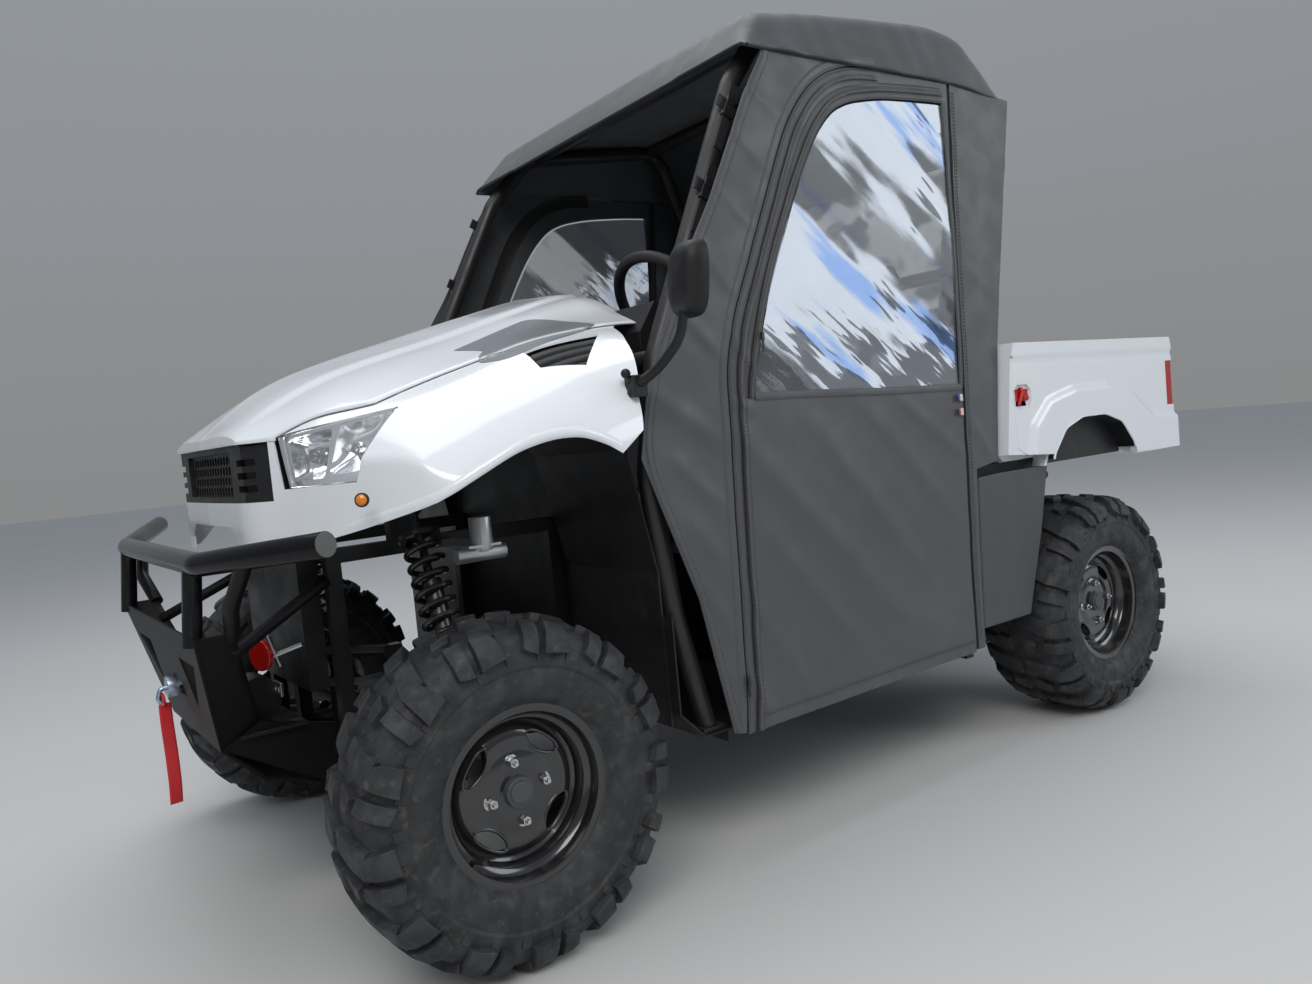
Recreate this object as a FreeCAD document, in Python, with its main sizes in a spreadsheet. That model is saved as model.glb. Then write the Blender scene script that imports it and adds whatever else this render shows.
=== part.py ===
import FreeCAD, Part
import math
import os

import Sketcher
from FreeCAD import Vector

# A side by side utility vehicle: two seats, soft cab with zip doors, tipping cargo bed.
# +X is forward, +Y is left, +Z is up. The origin is on the ground under the middle of the length.
# All sizes are millimetres.

SIZES = [
    # alias, value, meaning
    ("front_axle_x", 975.0, "front axle, ahead of the middle"),
    ("wheelbase", 1925.0, "front axle to rear axle"),
    ("rear_overhang", 485.0, "bed's tail behind the rear axle"),
    ("tyre_radius", 317.5, "25 inch tyre, out to the lugs"),
    ("front_tyre_width", 205.0, "8 inch tyre"),
    ("rear_tyre_width", 255.0, "10 inch tyre"),
    ("front_wheel_y", 633.0, "middle of the front tyre"),
    ("rear_wheel_y", 614.0, "middle of the rear tyre"),
    ("bead_radius", 152.4, "12 inch rim, bead seat"),
    ("rim_lip", 14.6, "height of the rim's flange over the bead seat"),
    ("rim_wall", 4.0, "thickness of the rim"),
    ("rim_well", 24.0, "depth of the rim's well"),
    ("front_rim_width", 164.0, "6.5 inch rim"),
    ("rear_rim_width", 206.0, "8 inch rim"),
    ("disc_recess", 40.0, "wheel disc behind the rim's outer lip"),
    ("disc_thickness", 6.0, "wheel disc"),
    ("bolt_circle", 110.0, "wheel bolt circle, diameter"),
    ("stud_radius", 6.0, "wheel stud"),
    ("hub_radius", 34.0, "hub inside the wheel"),
    ("kingpin_y", 540.0, "steering axis of a front wheel"),
    ("kingpin_radius", 11.0, "ball joint stem"),
    ("arm_radius", 13.0, "suspension arm tube"),
    ("frame_rail_y", 170.0, "middle of a frame rail"),
    ("rail_size", 30.0, "square tube of the frame"),
    ("rail_bottom_z", 266.0, "underside of the frame rails"),
    ("skid_thickness", 4.0, "skid plate"),
    ("floor_thickness", 4.0, "cab floor"),
    ("cage_radius", 22.0, "roll cage tube"),
    ("bumper_radius", 21.5, "bumper tube"),
    ("panel_thickness", 5.0, "plastic body panels"),
    ("panel_gap", 0.8, "seam between body panels"),
    ("fabric_thickness", 4.0, "cab fabric"),
    ("door_gap", 5.0, "gap round a door"),
    ("seat_gap", 0.3, "clearance where a piece is seated"),
    ("cab_side_y", 697.0, "cab side at its foot"),
    ("cab_foot_z", 290.0, "foot of the cab side"),
    ("cab_lean", 0.0323, "cab side leans in by this much for each mm up"),
    ("canopy_edge_z", 1752.0, "lower edge of the roof canopy"),
    ("bed_floor_z", 765.0, "underside of the cargo bed's floor"),
    ("bed_wall", 8.0, "cargo bed's plastic wall"),
    ("bed_front_x", 578.0, "front wall of the bed at its top, behind the middle"),
    ("bed_half_width", 715.0, "half width of the bed"),
    ("bed_inner_y", 650.0, "half width of the load space"),
    ("bed_top_z", 1080.0, "top rail of the bed"),
    ("bed_hinge_setback", 380.0, "tipping hinge behind the rear axle"),
    ("bed_hinge_z", 660.0, "tipping hinge"),
    ("hinge_pin_radius", 12.0, "tipping hinge pin"),
    ("receiver_length", 265, "length of the receiver tube behind the frame"),
    ("receiver_size", 50.8, "2 inch hitch receiver, inside"),
    ("receiver_wall", 6.0, "hitch receiver wall"),
    ("receiver_z", 350.0, "middle of the hitch receiver"),
    ("hitch_pin_radius", 8.0, "hitch pin hole"),
    ("steering_wheel_radius", 165.0, "steering wheel, middle of its rim"),
    ("steering_y", 330.0, "driver's middle"),
    ("column_tilt", 35.0, "steering column over the horizontal, degrees"),
]


class Size:
    """A length with the formula that gives it, so that a sketch can be bound to the sheet."""

    def __init__(self, value, formula):
        self.value = float(value)
        self.formula = formula

    def __add__(self, other):
        other = as_size(other)
        return Size(self.value + other.value, f"({self.formula} + {other.formula})")

    def __sub__(self, other):
        other = as_size(other)
        return Size(self.value - other.value, f"({self.formula} - {other.formula})")

    def __mul__(self, other):
        other = as_size(other)
        return Size(self.value * other.value, f"({self.formula} * {other.formula})")

    def __truediv__(self, other):
        other = as_size(other)
        return Size(self.value / other.value, f"({self.formula} / {other.formula})")

    def __neg__(self):
        return Size(-self.value, f"(-{self.formula})")

    def __radd__(self, other):
        return as_size(other) + self

    def __rsub__(self, other):
        return as_size(other) - self

    def __rmul__(self, other):
        return as_size(other) * self

    def __float__(self):
        return self.value


def as_size(item):
    if isinstance(item, Size):
        return item
    return Size(item, f"({float(item)!r})")


class Sizes:
    """The sheet's sizes, each under its own name."""


doc = FreeCAD.newDocument("side_by_side_utv")
sheet = doc.addObject("Spreadsheet::Sheet", "Sizes")
D = Sizes()
for row, (alias, value, meaning) in enumerate(SIZES, start=1):
    sheet.set(f"A{row}", meaning)
    sheet.set(f"B{row}", str(value))
    sheet.setAlias(f"B{row}", alias)
    setattr(D, alias, Size(value, f"Sizes.{alias}"))
doc.recompute()

nodes = []


# Helpers for bodies made of sketches

def new_body(name):
    owner = doc.addObject("PartDesign::Body", name)
    owner.Label = name
    nodes.append(owner)
    return owner


def origin_plane(owner, role):
    for item in owner.Origin.OriginFeatures:
        if item.Role == role:
            return item
    raise ValueError(role)


def bind(sketch, kind, arguments, size):
    """Adds one constraint and binds it to the sheet."""
    size = as_size(size)
    index = sketch.addConstraint(Sketcher.Constraint(kind, *arguments, size.value))
    sketch.setExpression(f"Constraints[{index}]", size.formula)


def add_polygon(sketch, points):
    first = sketch.GeometryCount
    count = len(points)
    for index in range(count):
        start = points[index]
        end = points[(index + 1) % count]
        sketch.addGeometry(Part.LineSegment(Vector(float(start[0]), float(start[1]), 0),
                                            Vector(float(end[0]), float(end[1]), 0)))
    for index in range(count):
        after = first + (index + 1) % count
        sketch.addConstraint(Sketcher.Constraint("Coincident", first + index, 2, after, 1))
    for index, (along, up) in enumerate(points):
        bind(sketch, "DistanceX", (-1, 1, first + index, 1), along)
        bind(sketch, "DistanceY", (-1, 1, first + index, 1), up)


def add_circle(sketch, along, up, radius):
    index = sketch.addGeometry(Part.Circle(Vector(float(along), float(up), 0), Vector(0, 0, 1),
                                           float(radius)))
    bind(sketch, "DistanceX", (-1, 1, index, 3), along)
    bind(sketch, "DistanceY", (-1, 1, index, 3), up)
    bind(sketch, "Radius", (index,), radius)


def new_sketch(owner, name, role, level, profiles):
    """A sketch on an origin plane, moved to level along the world axis across that plane."""
    sketch = owner.newObject("Sketcher::SketchObject", name)
    sketch.AttachmentSupport = [(origin_plane(owner, role), "")]
    sketch.MapMode = "FlatFace"
    level = as_size(level)
    if role == "XZ_Plane":
        level = -level
    sketch.setExpression("AttachmentOffset.Base.z", level.formula)
    for profile in profiles:
        if profile[0] == "circle":
            add_circle(sketch, *profile[1:])
        else:
            add_polygon(sketch, profile)
    return sketch


def pad(owner, name, role, profiles, low, high):
    """Material from low to high along the world axis across the plane."""
    base = high if role == "XZ_Plane" else low
    sketch = new_sketch(owner, name + "_sketch", role, base, profiles)
    feature = owner.newObject("PartDesign::Pad", name)
    feature.Profile = sketch
    feature.setExpression("Length", (as_size(high) - as_size(low)).formula)
    return feature


def pocket(owner, name, role, profiles, low, high):
    """A cut from low to high along the world axis across the plane."""
    doc.recompute()
    before = owner.Shape.Volume
    base = low if role == "XZ_Plane" else high
    sketch = new_sketch(owner, name + "_sketch", role, base, profiles)
    feature = owner.newObject("PartDesign::Pocket", name)
    feature.Profile = sketch
    feature.setExpression("Length", (as_size(high) - as_size(low)).formula)
    doc.recompute()
    if owner.Shape.Volume >= before:
        raise ValueError(f"{name} cuts nothing")
    return feature


def rectangle(left, bottom, right, top):
    return [(left, bottom), (right, bottom), (right, top), (left, top)]


# Helpers for shapes made in code

def feature(name, shape):
    item = doc.addObject("Part::Feature", name)
    item.Label = name
    item.Shape = shape
    nodes.append(item)
    return item


def vec(along, across, up):
    return Vector(float(along), float(across), float(up))


def mirrored(shape):
    return shape.mirror(Vector(0, 0, 0), Vector(0, 1, 0))


def both_sides(shapes):
    """The given solids and their mirror images, as one shape."""
    return Part.makeCompound(list(shapes) + [mirrored(shape) for shape in shapes])


def joined(shapes):
    whole = shapes[0].multiFuse(shapes[1:]).removeSplitter()
    return whole.Solids[0] if len(whole.Solids) == 1 else whole


def box(low, high):
    low = vec(*low)
    high = vec(*high)
    span = high - low
    return Part.makeBox(span.x, span.y, span.z, low)


def rod(start, end, radius):
    start = vec(*start)
    end = vec(*end)
    span = end - start
    return Part.makeCylinder(float(radius), span.Length, start, span)


def prism(points, direction):
    """A flat polygon of 3-D points, pushed along a direction."""
    corners = [vec(*point) for point in points]
    face = Part.Face(Part.makePolygon(corners + [corners[0]]))
    return face.extrude(vec(*direction))


def bent_path(points, bend):
    """Straight runs joined by tangent arcs of one bend radius, less where a run is short."""
    corners = [vec(*point) for point in points]
    edges = []
    start = corners[0]
    for index in range(1, len(corners) - 1):
        into = corners[index - 1] - corners[index]
        out = corners[index + 1] - corners[index]
        room = 0.48 * min(into.Length, out.Length)
        into.normalize()
        out.normalize()
        half_turn = 0.5 * (math.pi - into.getAngle(out))
        back = min(float(bend) * math.tan(half_turn), room)
        radius = back / math.tan(half_turn)
        first = corners[index] + into * back
        last = corners[index] + out * back
        centre = corners[index] + (into + out).normalize() * (radius / math.cos(half_turn))
        middle = centre + (corners[index] - centre).normalize() * radius
        edges.append(Part.makeLine(start, first))
        edges.append(Part.Arc(first, middle, last).toShape())
        start = last
    edges.append(Part.makeLine(start, corners[-1]))
    return Part.Wire(edges)


def tube(points, radius, bend=80.0):
    path = bent_path(points, bend)
    start = vec(*points[0])
    direction = vec(*points[1]) - start
    ring = Part.Wire(Part.makeCircle(float(radius), start, direction))
    return path.makePipeShell([ring], True, False)


def ruled_solid(sections):
    """Straight lines from each closed section to the next, with every section a list of points."""
    wires = []
    for section in sections:
        corners = [vec(*point) for point in section]
        wires.append(Part.makePolygon(corners + [corners[0]]))
    return Part.makeLoft(wires, True, True)


# Places that several pieces share

axle_z = D.tyre_radius
rear_axle_x = D.front_axle_x - D.wheelbase
rail_top_z = D.rail_bottom_z + D.rail_size
floor_top_z = rail_top_z + D.floor_thickness
skid_bottom_z = D.rail_bottom_z - D.skid_thickness


# Wheels

PITCHES = 13
FACETS = 2 * PITCHES
lug_height = 16
lug_root = 6
LUG_EDGE = 0.90

TYRE_PROFILE = [
    # radius as a share of rim lip to carcass, half width as a share of the tyre's half width
    (0.62, 1.00),
    (1.00, 0.74),
]
LUGS = [
    # facet of each pitch, start of the lug as a share of the half width, its width round the tyre,
    # its shift round the tyre from start to shoulder
    (0, 0.05, 38, 18),
    (1, 0.44, 34, -14),
]


def flat_faced(polygons):
    """A solid bounded by flat polygons."""
    faces = []
    for polygon in polygons:
        corners = [vec(*point) for point in polygon]
        faces.append(Part.Face(Part.makePolygon(corners + [corners[0]])))
    solid = Part.Solid(Part.Shell(faces))
    if solid.Volume < 0:
        solid.reverse()
    return solid


def tyre_ring(tyre_width, rim_width):
    """A tyre about the Y axis: a ring of flat sides, two to a pitch, with lugs over both shoulders."""
    half_facet = math.pi / FACETS
    corner = 1 / math.cos(half_facet)
    bead = float(D.bead_radius + D.seat_gap)
    lip = float(D.bead_radius + D.rim_lip + D.seat_gap)
    tip = float(D.tyre_radius)
    outer = tip - lug_height
    half_width = float(tyre_width) / 2
    bead_half = float(rim_width / 2 - D.rim_wall - D.seat_gap)
    half = [(bead, bead_half), (lip, bead_half)]
    for share, side in TYRE_PROFILE:
        half.append((lip + share * (outer - lip), side * half_width))
    profile = half + [(radius, -side) for radius, side in reversed(half)]
    sections = []
    for step in range(FACETS):
        turn = half_facet * (2 * step + 1) - math.pi / 2
        sections.append([(radius * corner * math.cos(turn), side, radius * corner * math.sin(turn))
                         for radius, side in profile])
    bands = []
    for first, second in zip(sections, sections[1:] + sections[:1]):
        for index in range(len(profile)):
            after = (index + 1) % len(profile)
            bands.append([first[index], first[after], second[after], second[index]])
    carcass = flat_faced(bands)
    shoulder_r, shoulder_y = half[-2]
    lugs = []
    for step in range(FACETS):
        turn = half_facet * 2 * step - math.pi / 2
        out = Vector(math.cos(turn), 0, math.sin(turn))
        around = Vector(-math.sin(turn), 0, math.cos(turn))
        for side in (1, -1):
            for facet, start, width, shift in LUGS:
                if (step + (side < 0)) % 2 != facet:
                    continue
                # across, radius: the lug's outline seen along the tread
                outline = [
                    (start * half_width, outer - lug_root),
                    (start * half_width, tip),
                    (LUG_EDGE * half_width, tip),
                    (shoulder_y, shoulder_r),
                    (TYRE_PROFILE[-1][1] * half_width, outer - lug_root)]
                corners = []
                for across, radius in outline:
                    share = (across / half_width - start) / (1 - start)
                    move = (share - 0.5) * shift - width / 2
                    corners.append(out * radius + around * move + Vector(0, across * side, 0))
                face = Part.Face(Part.makePolygon(corners + [corners[0]]))
                lugs.append(face.extrude(around * width))
    return joined([carcass] + lugs)


def rim_body(name, width, tyre_y, place_x, side):
    """A dished wheel turned about the Y axis, its face on the outer side."""
    owner = new_body(name)
    lip = D.bead_radius + D.rim_lip
    well = D.bead_radius - D.rim_well
    half = width / 2
    wall = D.rim_wall
    disc_out = half - D.disc_recess
    disc_in = disc_out - D.disc_thickness
    # across the wheel, then radius: up the outside of the barrel and back along its inside
    outline = [
        (half, lip),
        (half - wall, lip),
        (half - wall, D.bead_radius),
        (half * 0.55, D.bead_radius),
        (half * 0.30, well),
        (half * -0.30, well),
        (half * -0.55, D.bead_radius),
        (wall - half, D.bead_radius),
        (wall - half, lip),
        (-half, lip),
        (-half, D.bead_radius - wall),
        (half * -0.60, D.bead_radius - wall),
        (half * -0.35, well - wall),
        (disc_in, well - wall),
        (disc_in, D.hub_radius * 0.62),
        (disc_out, D.hub_radius * 0.62),
        (disc_out, well - wall * 3),
        (half * 0.62, well - wall),
        (half * 0.62, D.bead_radius - wall),
        (half, D.bead_radius - wall),
    ]
    turned = []
    for across, radius in outline:
        turned.append((radius, across * side))
    sketch = new_sketch(owner, name + "_profile", "XY_Plane", 0, [turned])
    spin = owner.newObject("PartDesign::Revolution", name + "_turned")
    spin.Profile = sketch
    spin.ReferenceAxis = (sketch, ["V_Axis"])
    spin.Angle = 360
    window_y = disc_in * side if side > 0 else disc_out * side
    low = window_y - 1
    high = window_y + D.disc_thickness + 1
    window_r = D.hub_radius + (well - D.hub_radius) * 0.55
    openings = []
    for step in range(4):
        turn = math.pi / 4 + step * math.pi / 2
        openings.append(("circle", window_r * math.cos(turn), window_r * math.sin(turn), 17.0))
    for step in range(4):
        turn = step * math.pi / 2
        openings.append(("circle", D.bolt_circle / 2 * math.cos(turn),
                         D.bolt_circle / 2 * math.sin(turn), D.stud_radius + D.seat_gap))
    pocket(owner, name + "_openings", "XZ_Plane", openings, low, high)
    owner.setExpression("Placement.Base.x", as_size(place_x).formula)
    owner.setExpression("Placement.Base.y", as_size(tyre_y * side).formula)
    owner.setExpression("Placement.Base.z", axle_z.formula)
    return owner


front_tyre_shape = tyre_ring(D.front_tyre_width, D.front_rim_width)
rear_tyre_shape = tyre_ring(D.rear_tyre_width, D.rear_rim_width)

WHEELS = [
    # name, axle place, tyre shape, distance from the middle, side, rim width
    ("front_left", D.front_axle_x, front_tyre_shape, D.front_wheel_y, 1, D.front_rim_width),
    ("front_right", D.front_axle_x, front_tyre_shape, D.front_wheel_y, -1, D.front_rim_width),
    ("rear_left", rear_axle_x, rear_tyre_shape, D.rear_wheel_y, 1, D.rear_rim_width),
    ("rear_right", rear_axle_x, rear_tyre_shape, D.rear_wheel_y, -1, D.rear_rim_width),
]

for name, place_x, tyre_shape, wheel_y, side, rim_width in WHEELS:
    tyre = feature("tyre_" + name, tyre_shape.copy())
    tyre.Placement = FreeCAD.Placement(vec(place_x, wheel_y * side, axle_z), FreeCAD.Rotation())
    rim_body("rim_" + name, rim_width, wheel_y, place_x, side)

# The nose: one moulded outer form, hollow below, that the panels, lamps and stays share

NOSE_COLUMNS = (0, 250, 400, 560, 650, 705, 740)
NOSE_SECTIONS = [
    # place along X, then the height of the skin at each column out from the middle
    (440, (1302, 1272, 1212, 1150, 1110, 1050, 930)),
    (500, (1298, 1268, 1215, 1158, 1112, 1050, 935)),
    (640, (1262, 1232, 1192, 1150, 1100, 1025, 930)),
    (810, (1215, 1182, 1150, 1116, 1060, 990, 910)),
    (1065, (1140, 1112, 1075, 1005, 940, 860, 800)),
    (1180, (1088, 1062, 1020, 905, 850, 800, 760)),
    (1300, (995, 985, 900, 820, 790, 770, 750)),
]
NOSE_PLAN = [
    # along, across: the nose seen from above
    (1290, 0), (1284, 275), (1236, 350), (1150, 545), (1065, 682), (1000, 714), (900, 733), (780, 738),
    (640, 728), (430, 718)]
NOSE_SIDE = [
    # along, up: lower edge of the fascia and the wheel arch, and the cowl's rear edge
    (1320, 765), (1250, 768), (1190, 796), (1067, 850), (999, 890), (928, 926), (860, 941), (800, 940),
    (745, 919), (716, 902), (662, 941), (628, 1060), (600, 1120), (560, 1160), (505, 1190), (480, 1230),
    (480, 1400), (1320, 1400)]


def nose_form(inset):
    """The space inside the nose's skin, moved in by inset on the top and the sides."""
    inset = float(inset)
    sections = []
    for place, heights in NOSE_SECTIONS:
        half = [(place, max(column - inset, 0), height - inset) for column,
                height in zip(NOSE_COLUMNS, heights)]
        half.append((place, NOSE_COLUMNS[-1] - inset, 600))
        other = [(along, -across, up) for along, across, up in half[1:]]
        sections.append(half + other[::-1])
    skin = ruled_solid(sections)
    plan = [(along - inset, max(across - inset, 0), 590) for along, across in NOSE_PLAN]
    plan_points = plan + [(along, -across, up) for along, across, up in plan[:0:-1]]
    return skin.common(prism(plan_points, (0, 0, 900)))


# The roof canopy's form, which the roll cage carries

CANOPY_SECTIONS = [
    # along, edge height, top height, half width at the edge, half width at the top
    (238, 1752, 1761, 655, 640),
    (150, 1752, 1862, 655, 602),
    (-450, 1762, 1944, 655, 590),
    (-620, 1750, 1920, 650, 590),
    (-690, 1746, 1845, 646, 590),
    (-718, 1746, 1780, 640, 600),
]
canopy_wall = 6


def canopy_inside(along):
    """The height of the canopy's inner face over a place along X."""
    for ahead, behind in zip(CANOPY_SECTIONS, CANOPY_SECTIONS[1:]):
        if behind[0] <= along <= ahead[0]:
            share = (ahead[0] - along) / (ahead[0] - behind[0])
            return ahead[2] + share * (behind[2] - ahead[2]) - canopy_wall
    raise ValueError(along)


# Chassis frame of square tube, welded into one piece

tower_x = 118
top_rail_z = 730
bed_rail_z = D.bed_floor_z - 10 - D.rail_size
upright_y = D.frame_rail_y + 80
half_rail = D.rail_size / 2
front_member_x = D.front_axle_x + 150
cab_member_x = D.front_axle_x - 365
rear_member_x = rear_axle_x - 165
mid_member_x = rear_axle_x + 410
hinge_x = rear_axle_x - D.bed_hinge_setback
shock_head_y = D.frame_rail_y + 141
shock_head_z = 832


def tube_box(name, low, high):
    """A square tube or plate as a box bound to the sheet."""
    item = doc.addObject("Part::Box", name)
    for letter, start, end in zip("xyz", low, high):
        item.setExpression(f"Placement.Base.{letter}", as_size(start).formula)
    for edge, start, end in zip(("Length", "Width", "Height"), low, high):
        item.setExpression(edge, (as_size(end) - as_size(start)).formula)
    return item


def bar(name, axis, radius, low, high, across, up):
    """A round bar along X, Y or Z from low to high; the other two places are across and up."""
    item = doc.addObject("Part::Cylinder", name)
    item.setExpression("Radius", as_size(radius).formula)
    item.setExpression("Height", (as_size(high) - as_size(low)).formula)
    turns = {"x": ("yz", Vector(0, 1, 0), 90), "y": ("xz", Vector(1, 0, 0), -90),
             "z": ("xy", Vector(0, 0, 1), 0)}
    others, turn_axis, angle = turns[axis]
    item.Placement = FreeCAD.Placement(Vector(), FreeCAD.Rotation(turn_axis, angle))
    item.setExpression(f"Placement.Base.{axis}", as_size(low).formula)
    item.setExpression(f"Placement.Base.{others[0]}", as_size(across).formula)
    item.setExpression(f"Placement.Base.{others[1]}", as_size(up).formula)
    return item


def welded(name, pieces):
    """Primitives joined into one solid."""
    item = doc.addObject("Part::MultiFuse", name)
    item.Label = name
    item.Shapes = pieces
    item.Refine = True
    nodes.append(item)
    return item


def frame_piece(number, low, high):
    return tube_box(f"frame_tube_{number}", low, high)


FRAME_CROSS = [
    # middle along X, half length across Y
    (front_member_x, upright_y + half_rail),
    (D.front_axle_x - 95, D.frame_rail_y),
    (cab_member_x, upright_y + half_rail),
    (D.front_axle_x - 530, D.cab_side_y - 45),
    (rear_axle_x + 570, D.cab_side_y - 45),
    (mid_member_x, upright_y + half_rail),
    (rear_member_x, upright_y + half_rail),
]

frame_tubes = []


def add_frame(low, high):
    frame_tubes.append(frame_piece(len(frame_tubes) + 1, low, high))


for middle_x, reach in FRAME_CROSS:
    add_frame((middle_x - half_rail, -reach, D.rail_bottom_z), (middle_x + half_rail, reach, rail_top_z))

for side in (1, -1):
    rail_low = D.frame_rail_y * side - half_rail
    rail_high = D.frame_rail_y * side + half_rail
    post_low = upright_y * side - half_rail
    post_high = upright_y * side + half_rail
    add_frame((rear_member_x, rail_low, D.rail_bottom_z), (front_member_x, rail_high, rail_top_z))
    for post_x, post_top in ((front_member_x, top_rail_z + D.rail_size),
                             (cab_member_x, top_rail_z + D.rail_size),
                             (mid_member_x, bed_rail_z + D.rail_size),
                             (rear_member_x, bed_rail_z + D.rail_size)):
        add_frame((post_x - half_rail, post_low, D.rail_bottom_z), (post_x + half_rail, post_high, post_top))
    add_frame((cab_member_x, post_low, top_rail_z), (front_member_x, post_high, top_rail_z + D.rail_size))
    add_frame((hinge_x - half_rail, post_low, bed_rail_z),
              (mid_member_x, post_high, bed_rail_z + D.rail_size))
    add_frame((hinge_x - half_rail, post_low, D.bed_hinge_z - 25),
              (hinge_x + half_rail, post_high, bed_rail_z))
    for axle_x, top in ((D.front_axle_x, 460), (rear_axle_x, 440)):
        for offset in (-tower_x, tower_x):
            add_frame((axle_x + offset - half_rail, rail_low, rail_top_z - 1),
                      (axle_x + offset + half_rail, rail_high, top))
    shock_low = D.front_axle_x - 25
    add_frame((shock_low, post_low, top_rail_z), (shock_low + 50, post_high, shock_head_z + 20))
    add_frame((shock_low, upright_y if side > 0 else -shock_head_y, shock_head_z - 22),
              (shock_low + 50, shock_head_y if side > 0 else -upright_y, shock_head_z + 20))

add_frame((front_member_x - half_rail, -upright_y, top_rail_z), (front_member_x + half_rail, upright_y,
                                                                 top_rail_z + D.rail_size))
add_frame((rear_member_x - half_rail, -upright_y, D.receiver_z - 40), (rear_member_x + half_rail, upright_y,
                                                                       D.receiver_z + 40))
frame_tubes.append(bar("bed_hinge_pin", "y", D.hinge_pin_radius, -310, 310, hinge_x, D.bed_hinge_z))
for side in (1, -1):
    for place in (mid_member_x - 120, hinge_x + 120):
        add_frame((place - 20, upright_y * side - 12, bed_rail_z + D.rail_size),
                  (place + 20, upright_y * side + 12, D.bed_floor_z - D.seat_gap))
stay_y = 100
for side in (1, -1):
    stay = doc.addObject("Part::Feature", "hood_stay_left" if side > 0 else "hood_stay_right")
    stay_post = box((front_member_x - 10, side * stay_y - 10, top_rail_z + 1),
                    (front_member_x + 10, side * stay_y + 10, 1300))
    stay.Shape = stay_post.common(nose_form(D.panel_thickness + D.seat_gap))
    frame_tubes.append(stay)
welded("frame", frame_tubes)


# Skid plate and cab floor

skid = new_body("skid_plate")
skid_narrow = D.frame_rail_y + half_rail - 2
skid_wide = upright_y + 50
skid_half = [(rear_member_x - 15, skid_narrow), (rear_axle_x + 190, skid_narrow),
             (rear_axle_x + 260, skid_wide),
             (cab_member_x - 20, skid_wide), (D.front_axle_x - 220, skid_narrow),
             (front_member_x + 15, skid_narrow)]
pad(skid, "skid_sheet", "XY_Plane", [skid_half + [(along, -across) for along, across in skid_half[::-1]]],
    skid_bottom_z, D.rail_bottom_z)

cab_floor = new_body("cab_floor")
floor_front_x = cab_member_x - half_rail - 3
floor_half = D.cab_side_y - 30
toe_board = [
    (-450, rail_top_z), (floor_front_x - 60, rail_top_z), (floor_front_x, rail_top_z + 60),
    (floor_front_x, 560), (floor_front_x - D.floor_thickness, 560),
    (floor_front_x - D.floor_thickness, rail_top_z + 62), (floor_front_x - 62, floor_top_z),
    (-450, floor_top_z)]
pad(cab_floor, "floor_sheet", "XZ_Plane", [toe_board], -floor_half, floor_half)
firewall_foot = 560
pad(cab_floor, "firewall", "XZ_Plane", [rectangle(floor_front_x - D.floor_thickness, firewall_foot - 1,
                                                  floor_front_x, 1000)], -560, 560)
doc.recompute()


# Engine, gearboxes and drive shafts

engine = tube_box("engine", (rear_axle_x + 90, -150, rail_top_z),
                  (mid_member_x - half_rail - D.seat_gap, 150, 640))
engine.Label = "engine"
nodes.append(engine)

gearbox_half = 105
gearboxes = [
    box((D.front_axle_x - 68, -gearbox_half, D.rail_bottom_z), (D.front_axle_x + 75, gearbox_half, 410)),
    box((rear_axle_x - 90, -gearbox_half, D.rail_bottom_z), (rear_axle_x + 85, gearbox_half, 430)),
]
feature("gearboxes", Part.makeCompound(gearboxes))

shaft_solids = []
for axle_x, reach in ((D.front_axle_x, D.kingpin_y - 58), (rear_axle_x, D.rear_wheel_y - 135)):
    shaft_start_y = gearbox_half + D.seat_gap
    shaft = rod((axle_x, shaft_start_y, axle_z), (axle_x, reach, axle_z), 12)
    inner_cup = rod((axle_x, shaft_start_y, axle_z), (axle_x, gearbox_half + 45, axle_z), 33)
    outer_cup = rod((axle_x, reach - 45, axle_z), (axle_x, reach, axle_z), 26)
    shaft_solids.append(joined([shaft, inner_cup, outer_cup]))
feature("drive_shafts", both_sides(shaft_solids))


# Suspension

lower_lug_z = (256, 280)
upper_lug_z = (376, 400)
arm_clear = 6
lower_ball_z = lower_lug_z[0] - arm_clear - D.arm_radius
upper_ball_z = upper_lug_z[1] + arm_clear + D.arm_radius
inner_y = D.frame_rail_y + half_rail + D.arm_radius + D.seat_gap


def arm_z_at(across, ball_y, ball_z, inner_z):
    """The height of an arm's middle line at a distance out from the middle of the vehicle."""
    share = (float(across) - float(inner_y)) / (float(ball_y) - float(inner_y))
    return inner_z + share * (float(ball_z) - inner_z)


def wishbone(axle_x, ball_y, ball_z, inner_z, pin_end_z, lug_z, seat_y=None):
    """Two tubes from the frame's towers to the ball joint, whose pin enters the knuckle."""
    pieces = []
    if seat_y:
        seat_z = arm_z_at(seat_y, ball_y, ball_z, inner_z)
        pieces.append(box((axle_x - 40, seat_y - 20, seat_z - D.arm_radius),
                          (axle_x + 40, seat_y + 20, seat_z + D.arm_radius)))
    ball = (axle_x, ball_y, ball_z)
    for offset in (-tower_x, tower_x):
        pivot_x = axle_x + offset
        pieces.append(rod((pivot_x, inner_y, inner_z), ball, D.arm_radius))
        pieces.append(rod((pivot_x - half_rail, inner_y, inner_z), (pivot_x + half_rail, inner_y, inner_z),
                          D.arm_radius))
    shoulder_z = lug_z[0] - D.seat_gap if pin_end_z > float(ball_z) else lug_z[1] + D.seat_gap
    pieces.append(rod(ball, (axle_x, ball_y, shoulder_z), D.kingpin_radius + 7))
    pieces.append(rod(ball, (axle_x, ball_y, pin_end_z), D.kingpin_radius))
    return joined(pieces)


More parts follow.
